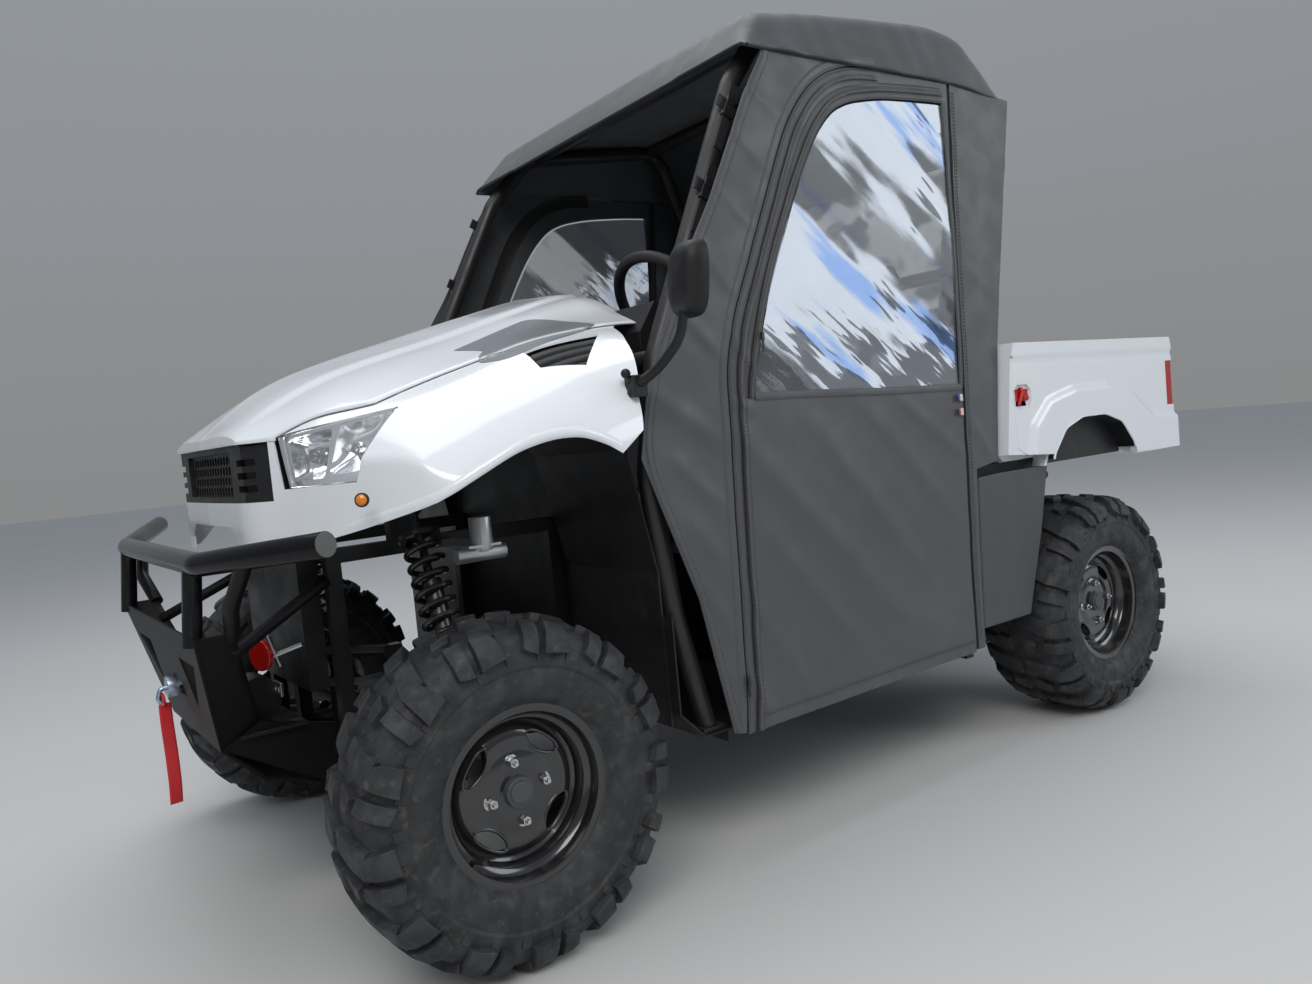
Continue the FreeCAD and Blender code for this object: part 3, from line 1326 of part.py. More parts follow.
arch_liner = [
    (rear_axle_x + 240, 740), (rear_axle_x + 223, 776), (rear_axle_x + 156, 846), (rear_axle_x + 62, 873),
    (rear_axle_x - 62, 873), (rear_axle_x - 156, 846), (rear_axle_x - 223, 776), (rear_axle_x - 240, 740),
    (rear_axle_x - 231, 740), (rear_axle_x - 214, 771), (rear_axle_x - 149, 839), (rear_axle_x - 59, 865),
    (rear_axle_x + 59, 865), (rear_axle_x + 149, 839), (rear_axle_x + 214, 771), (rear_axle_x + 231, 740)]
for label, low, high in (("left", hollow_low - 1, hollow_high + 1),
                         ("right", -hollow_high - 1, -hollow_low + 1)):
    pad(bed, "bed_arch_liner_" + label, "XZ_Plane", [arch_liner], low, high)
ear_y = upright_y + half_rail + 20
for label, side in (("left", 1), ("right", -1)):
    ear_low = ear_y if side > 0 else -ear_y - 10
    pad(bed, "bed_hinge_ear_" + label, "XZ_Plane", [
        [(hinge_x - 40, D.bed_floor_z + 1), (hinge_x - 22, D.bed_hinge_z - 10),
         (hinge_x - 10, D.bed_hinge_z - 22),
         (hinge_x + 10, D.bed_hinge_z - 22), (hinge_x + 22, D.bed_hinge_z - 10),
         (hinge_x + 40, D.bed_floor_z + 1)],
        ("circle", hinge_x, D.bed_hinge_z, D.hinge_pin_radius + D.seat_gap)], ear_low, ear_low + 10)
lamp_low = 868
lamp_high = 1006
lamp_depth_x = 40
lamp_inner_y = bed_side_y - 33
for label, side in (("left", 1), ("right", -1)):
    low, high = (lamp_inner_y, D.bed_half_width + 1) if side > 0 else (-D.bed_half_width - 1, -lamp_inner_y)
    pocket(bed, "tail_lamp_seat_" + label, "XZ_Plane",
           [rectangle(bed_rear - 1, lamp_low, bed_rear + lamp_depth_x,
                                                                  lamp_high)], low, high)
latch_x = bed_front - 37
latch_z = 938
LATCH_POCKET = [
    # along, up from the latch's middle
    (-40, -22), (-26, -34), (26, -34), (38, -22), (38, 16), (22, 30), (-24, 30), (-40, 14)]
pocket_outline = [(latch_x + along, latch_z + up) for along, up in LATCH_POCKET]
for label, low, high in (("left", bed_side_y - latch_depth, bed_side_y + 1),
                         ("right", -bed_side_y - 1, latch_depth - bed_side_y)):
    pocket(bed, "latch_pocket_" + label, "XZ_Plane", [pocket_outline], low, high)
doc.recompute()

# Tailgate between the bed's side walls, hinged along its lower edge

gate_gap = 5
gate_hinge_x = bed_rear + 14
gate_hinge_z = load_floor_z + 24
gate = new_body("tailgate")
gate_half = D.bed_inner_y - gate_gap
pad(gate, "gate_panel", "XZ_Plane", [[
    (bed_rear + 4, gate_hinge_z - 10), (bed_rear + 24, gate_hinge_z - 10),
    (tailgate_x - gate_gap, gate_hinge_z + 4),
    (tailgate_x - gate_gap, D.bed_top_z - 4), (bed_rear + 4, D.bed_top_z - 4)]], -gate_half, gate_half)
pocket(gate, "gate_hollow", "XZ_Plane",
       [rectangle(bed_rear + 11, gate_hinge_z + 12, tailgate_x - gate_gap - 7,
                                                   D.bed_top_z - 11)], 7 - gate_half, gate_half - 7)
for label, side in (("left", 1), ("right", -1)):
    low, high = (gate_half - 1, D.bed_inner_y - D.seat_gap) if side > 0 else (D.seat_gap - D.bed_inner_y,
                                                                              1 - gate_half)
    pad(gate, "gate_pivot_" + label, "XZ_Plane", [("circle", gate_hinge_x, gate_hinge_z, 7)], low, high)
doc.recompute()

tail_lamp = box((bed_rear + 1, lamp_inner_y + D.seat_gap, lamp_low + D.seat_gap),
                (bed_rear + lamp_depth_x - D.seat_gap, bed_side_y - 1, lamp_high - D.seat_gap))
feature("tail_lamps", both_sides([tail_lamp]))

# Red latch levers at the bed's front corners

latch_foot = bed_side_y - latch_depth + D.seat_gap
latch_grip = prism([(latch_x - 20, latch_foot + 5, latch_z - 10), (latch_x + 4, latch_foot + 5, latch_z - 10),
                    (latch_x + 16, latch_foot + 5, latch_z + 14),
                    (latch_x - 8, latch_foot + 5, latch_z + 14)],
                   (0, 9, 0))
latch_plate = box((latch_x - 26, latch_foot, latch_z - 14), (latch_x + 24, latch_foot + 6, latch_z + 18))
feature("bed_latches", both_sides([joined([latch_plate, latch_grip])]))

# Hitch receiver under the rear of the frame

hitch_front_x = rear_member_x - half_rail
hitch_rear_x = hitch_front_x - D.receiver_length
hitch = new_body("hitch")
outer_half = D.receiver_size / 2 + D.receiver_wall
pad(hitch, "receiver_tube", "YZ_Plane", [
    rectangle(-outer_half, D.receiver_z - outer_half, outer_half, D.receiver_z + outer_half),
    rectangle(-D.receiver_size / 2, D.receiver_z - D.receiver_size / 2, D.receiver_size / 2,
              D.receiver_z + D.receiver_size / 2)], hitch_rear_x, hitch_front_x)
pad(hitch, "receiver_gusset", "XZ_Plane", [[
    (hitch_front_x, D.receiver_z - outer_half - 30), (hitch_front_x, D.receiver_z - outer_half + 1),
    (hitch_front_x - 205, D.receiver_z - outer_half + 1)]], -4, 4)
pin_x = hitch_rear_x + 40
pocket(hitch, "hitch_pin_hole", "XZ_Plane", [("circle", pin_x, D.receiver_z, D.hitch_pin_radius)],
       -outer_half - 1, outer_half + 1)

# Muffler across the rear

muffler_radius = 58
muffler_x = rear_member_x - half_rail - muffler_radius - D.seat_gap
muffler = bar("muffler", "y", muffler_radius, -upright_y - 10, upright_y + 10, muffler_x, 560)
muffler.Label = "muffler"
nodes.append(muffler)


# Checks and files

doc.recompute()
for item in doc.Objects:
    if "Invalid" in item.State or "Error" in item.State:
        raise ValueError(f"{item.Name} failed")
for item in nodes:
    if item.Shape.isNull() or not item.Shape.isValid():
        raise ValueError(f"{item.Label} has no valid shape")

os.makedirs("parts", exist_ok=True)
for item in nodes:
    item.Shape.exportStep(f"parts/{item.Label}.step")
    print(item.Label, len(item.Shape.Solids), round(item.Shape.Volume / 1000))
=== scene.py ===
import math

import bmesh
import bpy
from mathutils import Matrix, Vector, noise
from mathutils.bvhtree import BVHTree


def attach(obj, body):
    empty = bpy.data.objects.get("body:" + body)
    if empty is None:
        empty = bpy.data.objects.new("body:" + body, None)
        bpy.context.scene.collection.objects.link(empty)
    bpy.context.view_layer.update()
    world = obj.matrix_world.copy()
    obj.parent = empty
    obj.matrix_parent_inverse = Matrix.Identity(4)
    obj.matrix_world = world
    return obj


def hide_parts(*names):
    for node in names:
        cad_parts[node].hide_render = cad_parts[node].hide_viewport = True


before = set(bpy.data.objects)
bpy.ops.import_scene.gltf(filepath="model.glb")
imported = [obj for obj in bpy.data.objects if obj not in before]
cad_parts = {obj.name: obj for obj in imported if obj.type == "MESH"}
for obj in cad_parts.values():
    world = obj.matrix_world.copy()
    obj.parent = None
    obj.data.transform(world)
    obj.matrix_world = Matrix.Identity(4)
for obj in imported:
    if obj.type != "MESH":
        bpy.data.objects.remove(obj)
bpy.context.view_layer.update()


# Small tools for sizes and shapes; lengths in the tables below are millimetres

def mm(x, y, z):
    return Vector((x, y, z)) / 1000.0


def mix(low, high, share):
    return low + (high - low) * share


def smooth(low, high, value):
    """0 below low, 1 above high, and a soft step between."""
    share = min(max((value - low) / (high - low), 0.0), 1.0)
    return share * share * (3 - 2 * share)


def along(points, share):
    """The point at a share of the length of a line of points."""
    points = [Vector(point) for point in points]
    runs = [(after - before).length for before, after in zip(points, points[1:])]
    left = sum(runs) * min(max(share, 0.0), 1.0)
    for before, after, run in zip(points, points[1:], runs):
        if left <= run:
            return before.lerp(after, left / run if run else 0.0)
        left -= run
    return points[-1]


def curve_through(table, place):
    """A smooth value through the rows (place, value) of a table."""
    rows = sorted(table)
    if place <= rows[0][0]:
        return rows[0][1]
    if place >= rows[-1][0]:
        return rows[-1][1]
    for index in range(len(rows) - 1):
        if place <= rows[index + 1][0]:
            break
    before = rows[max(index - 1, 0)]
    start, stop = rows[index], rows[index + 1]
    after = rows[min(index + 2, len(rows) - 1)]
    span = stop[0] - start[0]
    share = (place - start[0]) / span
    slope_in = (stop[1] - before[1]) / (stop[0] - before[0]) * span
    slope_out = (after[1] - start[1]) / (after[0] - start[0]) * span
    low, high = start[1], stop[1]
    return ((2 * share ** 3 - 3 * share ** 2 + 1) * low + (share ** 3 - 2 * share ** 2 + share) * slope_in +
            (-2 * share ** 3 + 3 * share ** 2) * high + (share ** 3 - share ** 2) * slope_out)


def bent(points, radius, steps=6):
    """A line of points with each corner rounded to a bend."""
    points = [Vector(point) for point in points]
    line = [points[0]]
    for before, corner, after in zip(points, points[1:], points[2:]):
        reach = min(radius, (corner - before).length * 0.48, (after - corner).length * 0.48)
        start = corner + (before - corner).normalized() * reach
        stop = corner + (after - corner).normalized() * reach
        for step in range(steps + 1):
            share = step / steps
            line.append(start.lerp(corner, share).lerp(corner.lerp(stop, share), share))
    return line + [points[-1]]


def upright(line):
    """Points on the middle plane from rows (along, up)."""
    return [Vector((x, 0, z)) for x, z in line]


def length_of(line):
    return sum((after - before).length for before, after in zip(line, line[1:]))


# Materials: node trees written as plain arithmetic

class Value:
    """A shader value that takes part in sums."""

    def __init__(self, owner, socket):
        self.owner = owner
        self.socket = socket

    def math(self, operation, first, second):
        return self.owner.node("Math", {"operation": operation}, {0: first, 1: second})

    def __add__(self, other):
        return self.math("ADD", self, other)

    def __radd__(self, other):
        return self.math("ADD", other, self)

    def __sub__(self, other):
        return self.math("SUBTRACT", self, other)

    def __rsub__(self, other):
        return self.math("SUBTRACT", other, self)

    def __mul__(self, other):
        return self.math("MULTIPLY", self, other)

    def __rmul__(self, other):
        return self.math("MULTIPLY", other, self)

    def step(self, low, high, to_low=0.0, to_high=1.0):
        """A soft step from to_low to to_high between low and high."""
        return self.owner.node("MapRange", {"interpolation_type": "SMOOTHSTEP"}, {
            "Value": self, "From Min": low, "From Max": high, "To Min": to_low, "To Max": to_high}, "Result")


class Nodes:
    """A node tree whose nodes all come from one method."""

    def __init__(self, tree):
        self.tree = tree

    def node(self, kind, settings, sockets, output=0):
        """A node of a kind: its settings first, then the values or links of its sockets."""
        made = self.tree.nodes.new("ShaderNode" + kind)
        for label, setting in settings.items():
            if label == "stops":
                for stop, (position, colour) in zip(made.color_ramp.elements, setting):
                    stop.position = position
                    stop.color = colour
            else:
                setattr(made, label, setting)
        self.fill(made, sockets)
        return Value(self, made.outputs[output])

    def fill(self, made, sockets):
        """Gives the sockets of a node their values or links."""
        for label, given in sockets.items():
            if isinstance(given, Value):
                self.tree.links.new(given.socket, made.inputs[label])
            else:
                made.inputs[label].default_value = given


class Look(Nodes):
    """One material, with its coordinates in metres in the model's own frame."""

    def __init__(self, name, colour, roughness, metal=0.0, **settings):
        self.material = bpy.data.materials.new(name)
        self.material.use_nodes = True
        super().__init__(self.material.node_tree)
        self.shader = self.tree.nodes["Principled BSDF"]
        self.base = (*colour, 1)
        self.relief = None
        self.fill(self.shader, {"Base Color": self.base, "Roughness": roughness, "Metallic": metal})
        self.fill(self.shader, {label.replace("_", " "): number for label, number in settings.items()})
        self.place = self.node("TexCoord", {}, {}, "Object")

    def stretched(self, stretch, turn=(0, 0, 0)):
        """The place turned first and then drawn out along its new axes."""
        turned = self.node("Mapping", {}, {"Vector": self.place, "Rotation": turn})
        return self.node("Mapping", {}, {"Vector": turned, "Scale": stretch})

    def noise(self, scale, detail=2.0, stretch=None, turn=(0, 0, 0)):
        place = self.stretched(stretch, turn) if stretch else self.place
        return self.node("TexNoise", {}, {"Vector": place, "Scale": scale, "Detail": detail}, "Fac")

    def cells(self, scale):
        return self.node("TexVoronoi", {}, {"Vector": self.place, "Scale": scale}, "Distance")

    def wave(self, scale, stretch, direction):
        place = self.stretched(stretch)
        return self.node("TexWave", {"bands_direction": direction}, {"Vector": place, "Scale": scale}, "Fac")

    def axis(self, letter):
        return self.node("SeparateXYZ", {}, {0: self.place}, letter)

    def facing_up(self):
        normal = self.node("NewGeometry", {}, {}, "Normal")
        return self.node("SeparateXYZ", {}, {0: normal}, "Z")

    def feed(self, label, value):
        self.fill(self.shader, {label: value})

    def tint(self, factor, colour):
        """The base colour turns to another colour where the factor is 1."""
        self.base = self.node("Mix", {"data_type": "RGBA"}, {0: factor, 6: self.base, 7: (*colour, 1)}, 2)
        self.feed("Base Color", self.base)

    def bump(self, height, distance, strength=1.0):
        """Fine relief on top of the relief that the material has."""
        sockets = {"Height": height, "Distance": distance, "Strength": strength}
        if self.relief:
            sockets["Normal"] = self.relief
        self.relief = self.node("Bump", {}, sockets)
        self.feed("Normal", self.relief)


def worn_metal(name, colour, roughness, metal, dust=0.25, **settings):
    """Painted or bare metal: uneven gloss, a fine skin and dust where it faces up."""
    look = Look(name, colour, roughness, metal, **settings)
    cloud = look.noise(9, 4)
    look.feed("Roughness", cloud.step(0.3, 0.7, roughness * 0.8, roughness * 1.3))
    dusty = look.facing_up().step(0.3, 1.0) * look.noise(34, 4).step(0.4, 0.75)
    look.tint(dusty * dust, (0.30, 0.28, 0.24))
    look.bump(look.noise(900, 2), 0.00012)
    return look.material


def moulded(name, colour, roughness, grain, **settings):
    """Moulded plastic with a fine grain."""
    look = Look(name, colour, roughness, 0.0, **settings)
    look.feed("Roughness", look.noise(14, 3).step(0.3, 0.7, roughness * 0.9, roughness * 1.15))
    look.tint(look.noise(22, 4).step(0.45, 0.8) * 0.3, tuple(part * 0.75 + 0.03 for part in colour))
    look.bump(look.cells(grain), 0.0002, 0.6)
    return look.material


frame_black = worn_metal("frame_black", (0.013, 0.013, 0.014), 0.34, 0.0, 0.25, Specular_IOR_Level=0.35)


def bumper_look():
    """Black powder coat: glossy on the top tube, duller on the plate and stays below it."""
    look = Look("bumper_black", (0.005, 0.005, 0.006), 0.2, 0.0, Specular_IOR_Level=0.22)
    look.feed("Roughness", look.axis("Z").step(0.66, 0.74, 0.55, 0.14))
    look.tint(look.noise(60, 4).step(0.6, 0.8) * 0.15, (0.06, 0.055, 0.05))
    look.bump(look.noise(700, 2), 0.0001)
    return look.material


bumper_black = bumper_look()
cast_grey = worn_metal("cast_grey", (0.09, 0.09, 0.095), 0.6, 0.5, 0.3)
shaft_steel = worn_metal("shaft_steel", (0.22, 0.22, 0.23), 0.42, 1.0, 0.3)
bright_steel = worn_metal("bright_steel", (0.55, 0.55, 0.56), 0.25, 1.0, 0.1)
cast_aluminium = worn_metal("cast_aluminium", (0.55, 0.55, 0.55), 0.42, 0.9, 0.2)
zinc = worn_metal("zinc", (0.38, 0.45, 0.55), 0.35, 0.9, 0.1)
shock_black = worn_metal("shock_black", (0.016, 0.016, 0.018), 0.22, 0.0, 0.25, Coat_Weight=0.3)
cage_black = worn_metal("cage_black", (0.014, 0.014, 0.015), 0.42, 0.0, 0.15)
rim_black = worn_metal("rim_black", (0.010, 0.010, 0.011), 0.13, 0.0, 0.1, Coat_Weight=0.9,
                       Coat_Roughness=0.05)
black_plastic = moulded("black_plastic", (0.012, 0.012, 0.013), 0.42, 1500, Specular_IOR_Level=0.3)
dark_grey_plastic = moulded("dark_grey_plastic", (0.062, 0.066, 0.072), 0.5, 1500)
liner_black = moulded("liner_black", (0.010, 0.010, 0.012), 0.42, 1200)
soft_black = moulded("soft_black", (0.015, 0.015, 0.015), 0.6, 1800)
chrome = worn_metal("chrome", (0.86, 0.87, 0.88), 0.05, 1.0, 0.0)


def white_look():
    """Gloss white moulded panels with a little dust."""
    look = Look("white_plastic", (0.80, 0.83, 0.87), 0.16, 0.0, Coat_Weight=0.6, Coat_Roughness=0.05)
    look.feed("Roughness", look.noise(6, 4).step(0.3, 0.7, 0.12, 0.24))
    look.tint(look.noise(3, 3).step(0.4, 0.8) * 0.35, (0.76, 0.80, 0.86))
    look.bump(look.noise(260, 1), 0.00006, 0.5)
    return look.material


white_plastic = white_look()


def cloth_look(name, colour, roughness, weave=2600.0):
    """Coated fabric: fine weave, soft sheen, slight dust and shallow wrinkles."""
    look = Look(name, colour, roughness, 0.0, Sheen_Weight=0.25, Sheen_Roughness=0.4)
    threads = look.wave(weave / 20, (1, 0.2, 1), "X") + look.wave(weave / 20, (1, 0.2, 1), "Z")
    look.feed("Roughness", look.noise(12, 4).step(0.3, 0.7, roughness * 0.85, roughness * 1.2))
    look.tint(look.noise(5, 5).step(0.45, 0.75) * 0.5, tuple(part * 1.35 for part in colour))
    look.bump(look.noise(60, 4), 0.0006, 0.5)
    look.bump(threads, 0.00012, 0.5)
    return look.material


cab_vinyl = cloth_look("cab_vinyl", (0.062, 0.065, 0.070), 0.46)
lining_black = cloth_look("lining_black", (0.010, 0.010, 0.011), 0.6)
webbing_black = cloth_look("webbing_black", (0.008, 0.008, 0.009), 0.55, 1200.0)


def seat_look():
    look = Look("seat_vinyl", (0.030, 0.030, 0.033), 0.5, 0.0)
    look.bump(look.cells(420), 0.0004, 0.8)
    look.tint(look.noise(20, 4).step(0.45, 0.8) * 0.4, (0.06, 0.06, 0.06))
    return look.material


seat_vinyl = seat_look()


def rubber_look():
    """Dark grey tyre rubber, paler on the worn tops, with dried mud low on the tread."""
    look = Look("tyre_rubber", (0.019, 0.020, 0.022), 0.62)
    look.feed("Roughness", look.noise(40, 5).step(0.3, 0.7, 0.5, 0.8))
    look.tint(look.noise(25, 6).step(0.42, 0.72) * 0.6, (0.052, 0.055, 0.060))
    look.tint(look.noise(70, 6).step(0.56, 0.74) * 0.45, (0.10, 0.090, 0.070))
    look.bump(look.noise(500, 3), 0.0004, 0.6)
    return look.material


tyre_rubber = rubber_look()


def clear_look(name, colour, alpha, roughness):
    look = Look(name, colour, roughness, 0.0)
    look.shader.inputs["Alpha"].default_value = alpha
    look.bump(look.noise(9, 2), 0.0003, 0.3)
    return look.material


lamp_clear = clear_look("lamp_clear", (0.75, 0.8, 0.85), 0.10, 0.03)
mirror_glass = worn_metal("mirror_glass", (0.75, 0.78, 0.8), 0.03, 1.0, 0.0)
red_lens = moulded("red_lens", (0.42, 0.008, 0.008), 0.12, 300, Coat_Weight=0.8)
amber_lens = moulded("amber_lens", (0.75, 0.22, 0.01), 0.14, 700, Coat_Weight=0.8)
red_paint = moulded("red_paint", (0.62, 0.018, 0.022), 0.35, 900)


def window_look():
    """Clear vinyl sheet: broken pale reflections and blue streaks between dark waves that show the cab; the
    blue streaks are a painted reflection of the sky, mixed into the colour.
    """
    look = Look("clear_vinyl", (0.36, 0.39, 0.43), 0.06, 0.0, Coat_Weight=0.3)
    lean = (0, 0.65, 0)
    long_waves = look.noise(2.4, 3, (0.5, 1.0, 2.0), lean)
    ripples = look.noise(9.0, 3, (0.35, 1.0, 1.6), lean)
    bright = (long_waves * 0.75 + ripples * 0.25).step(0.46, 0.53)
    # Painted reflection: streaks of sky blue mixed into the base colour of the clear sheet.
    look.tint(look.noise(5.0, 4, (0.4, 1.0, 2.4), lean).step(0.58, 0.68), (0.14, 0.24, 0.46))
    look.feed("Alpha", bright.step(0.0, 1.0, 0.16, 0.72))
    look.feed("Metallic", bright.step(0.0, 1.0, 0.08, 0.5))
    look.bump(look.noise(6, 3, (0.4, 1, 1.8), lean), 0.012, 0.6)
    return look.material


clear_vinyl = window_look()


# Making pieces

def wear(obj, material, body, replaced=(), bevel=0.0, subdivide=0, smooth_angle=35):
    """Gives a piece its material, its smoothing and the body that it rides on."""
    obj.data.materials.clear()
    obj.data.materials.append(material)
    if obj.type == "MESH":
        for face in obj.data.polygons:
            face.use_smooth = True
        obj.data.set_sharp_from_angle(angle=math.radians(smooth_angle))
    if bevel:
        edge = obj.modifiers.new("edges", "BEVEL")
        edge.width = bevel
        edge.segments = 3
        edge.limit_method = "ANGLE"
        edge.angle_limit = math.radians(40)
    if subdivide:
        soft = obj.modifiers.new("soft", "SUBSURF")
        soft.levels = subdivide
        soft.render_levels = subdivide
    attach(obj, body)
    if replaced:
        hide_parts(*replaced)
    return obj


def from_bmesh(name, bm):
    bmesh.ops.recalc_face_normals(bm, faces=bm.faces)
    mesh = bpy.data.meshes.new(name)
    bm.to_mesh(mesh)
    bm.free()
    obj = bpy.data.objects.new(name, mesh)
    bpy.context.scene.collection.objects.link(obj)
    return obj


def add_block(bm, low, high, turn=None, pivot=None):
    """A box between two corners, in metres, turned about its middle or a pivot."""
    low, high = Vector(low), Vector(high)
    made = bmesh.ops.create_cube(bm, size=1.0)["verts"]
    middle = (low + high) / 2
    for vert in made:
        vert.co = Vector([part * size for part, size in zip(vert.co, high - low)]) + middle
    if turn:
        bmesh.ops.rotate(bm, verts=made, cent=pivot or middle, matrix=turn)
    return made


def add_rod(bm, start, stop, radius, steps=24, radius_2=None):
    """A cylinder or cone between two points."""
    start, stop = Vector(start), Vector(stop)
    line = stop - start
    place = Matrix.Translation((start + stop) / 2) @ line.to_track_quat("Z", "Y").to_matrix().to_4x4()
    return bmesh.ops.create_cone(bm, cap_ends=True, segments=steps, radius1=radius,
                                 radius2=radius if radius_2 is None else radius_2, depth=line.length,
                                 matrix=place)["verts"]


def add_sheet(bm, across, up, place):
    """A grid whose points are moved to place(u, v), u and v from 0 to 1."""
    made = bmesh.ops.create_grid(bm, x_segments=across, y_segments=up, size=0.5)["verts"]
    for vert in made:
        vert.co = place(vert.co.x + 0.5, vert.co.y + 0.5)
    return made


def add_tube(name, points, radius, closed=False, rings=8):
    """A round tube along a line of points, as a bevelled curve."""
    data = bpy.data.curves.new(name, "CURVE")
    data.dimensions = "3D"
    data.bevel_depth = radius
    data.bevel_resolution = rings
    data.use_fill_caps = True
    spline = data.splines.new("POLY")
    spline.points.add(len(points) - 1)
    for point, where in zip(spline.points, points):
        point.co = (*where, 1)
    spline.use_cyclic_u = closed
    spline.use_smooth = True
    obj = bpy.data.objects.new(name, data)
    bpy.context.scene.collection.objects.link(obj)
    return obj


def mirrored(bm):
    """Adds the other side of what the mesh holds, across the middle plane."""
    verts = [vert for vert in bm.verts]
    edges = [edge for edge in bm.edges]
    faces = [face for face in bm.faces]
    copy = bmesh.ops.duplicate(bm, geom=verts + edges + faces)["geom"]
    copied = [part for part in copy if isinstance(part, bmesh.types.BMVert)]
    for vert in copied:
        vert.co.y = -vert.co.y
    bmesh.ops.reverse_faces(bm, faces=[part for part in copy if isinstance(part, bmesh.types.BMFace)])


def finish_mesh(obj):
    """Applies the modifiers of a piece, so that its mesh is what shows."""
    graph = bpy.context.evaluated_depsgraph_get()
    mesh = bpy.data.meshes.new_from_object(obj.evaluated_get(graph))
    obj.modifiers.clear()
    obj.data = mesh
    return obj


def walled(obj, thickness, offset=-1):
    """Gives a sheet its thickness in metres; an offset of -1 lays it inside the sheet, 0 on both sides."""
    wall = obj.modifiers.new("wall", "SOLIDIFY")
    wall.thickness = thickness
    wall.offset = offset
    return obj


def cut(obj, *holes, keep=None):
    """Keeps what lies inside the form keep, takes the holes out and clears the cutters away."""
    cutters = ([keep] if keep else []) + list(holes)
    for cutter in cutters:
        step = obj.modifiers.new("cut", "BOOLEAN")
        step.operation = "INTERSECT" if cutter is keep else "DIFFERENCE"
        step.solver = "EXACT"
        step.object = cutter
    finish_mesh(obj)
    for cutter in cutters:
        bpy.data.objects.remove(cutter)


def show(nodes, material):
    """A CAD node keeps its shape and takes a finished material."""
    for name in nodes:
        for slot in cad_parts[name].material_slots:
            slot.material = material


show(("frame", "skid_plate", "front_arms", "rear_arms", "tie_rods", "steering_rack", "steering_column",
      "hitch"), frame_black)
show(("knuckle_left", "knuckle_right", "rear_carriers", "engine", "gearboxes"), cast_grey)
show(("drive_shafts", "muffler"), shaft_steel)
show(("shocks", "springs"), shock_black)
show(("roll_cage",), cage_black)
show(("bumper",), bumper_black)
show(("winch",), frame_black)
show(("winch_hook",), zinc)
show(("radiator",), black_plastic)
show(("brake_cylinder",), cast_aluminium)
show(("hood", "fender_left", "fender_right", "fascia", "cargo_bed", "tailgate"), white_plastic)
show(("headlamps",), lamp_clear)
show(("tail_lamps", "bed_latches"), red_lens)
show(("grille", "fender_vents", "dash", "seat_base", "mirrors", "cab_floor"), black_plastic)
show(("wheel_liners",), liner_black)
show(("quarter_panels",), dark_grey_plastic)
show(("steering_wheel",), soft_black)
show(("seat_left", "seat_right"), seat_vinyl)
show(("side_panels", "door_left", "door_right", "rear_panel", "roof_canopy"), cab_vinyl)
show(("window_left", "window_right", "rear_window"), clear_vinyl)
for corner in ("front_left", "front_right", "rear_left", "rear_right"):
    show(("tyre_" + corner,), tyre_rubber)
    show(("rim_" + corner,), rim_black)


# The camera stands where the photograph's did

FOCAL_LENGTH, IMAGE_WIDTH = 985.0, 1312.0
FILM_WIDTH = 36.0
YAW, TILT, ROLL = (math.radians(angle) for angle in (-126.229, -3.628, -5.330))
EYE = mm(1759.7, 2248.5, 939.8)


def set_camera():
    ahead = Vector((math.cos(TILT) * math.cos(YAW), math.cos(TILT) * math.sin(YAW), math.sin(TILT)))
    level = ahead.cross(Vector((0, 0, 1))).normalized()
    above = level.cross(ahead)
    right = level * math.cos(ROLL) + above * math.sin(ROLL)
    upward = above * math.cos(ROLL) - level * math.sin(ROLL)
    turned = Matrix((right, upward, -ahead)).transposed().to_4x4()
    lens = bpy.data.cameras.new("camera")
    lens.sensor_width = FILM_WIDTH
    lens.lens = FOCAL_LENGTH / IMAGE_WIDTH * FILM_WIDTH
    lens.clip_start = 0.05
    camera = bpy.data.objects.new("camera", lens)
    camera.matrix_world = Matrix.Translation(EYE) @ turned
    bpy.context.scene.collection.objects.link(camera)
    bpy.context.scene.camera = camera


set_camera()
SIDES = (("left", 1), ("right", -1))


# Tyres: a turned carcass with angular lugs wrapped over its shoulders

TIP_RADIUS = 317.5
PITCHES = 13
LUG_TAPER, LUG_ROOT = 0.10, 4
TREAD = [
    # share of the half width, radius below the lug tips: the carcass from the middle to the ring on its side
    (0.0, 16), (0.45, 18), (0.76, 24), (0.90, 36), (0.97, 54), (0.985, 70)]
SIDE_WALL = [
    # share of the half width, radius: on from the tread to the bead
    (1.0, 241.5), (1.012, 233.5), (0.985, 227.5), (1.0, 218), (0.985, 196), (0.93, 180), (0.86, 170),
    (0.80, 163)]
LUGS = [
    # corners as (share of a pitch, share of the way from the middle to the ring), then height in mm
    (((0.08, 0.04), (0.34, 0.03), (0.60, 0.62), (0.26, 0.66)), 16),
    (((0.30, 0.60), (0.58, 0.57), (0.66, 0.98), (0.22, 0.94)), 15),
    (((0.66, 0.50), (0.86, 0.42), (0.98, 0.90), (0.74, 0.99)), 15),
    (((0.58, 0.10), (0.86, 0.14), (0.94, 0.34), (0.72, 0.38)), 15),
]


def divided_cube(cuts):
    """A unit cube with each face divided, kept as a mesh to be copied."""
    bm = bmesh.new()
    bmesh.ops.create_cube(bm, size=1.0)
    bmesh.ops.subdivide_edges(bm, edges=bm.edges, cuts=cuts, use_grid_fill=True)
    mesh = bpy.data.meshes.new("divided_cube")
    bm.to_mesh(mesh)
    bm.free()
    return mesh


lug_block = divided_cube(2)


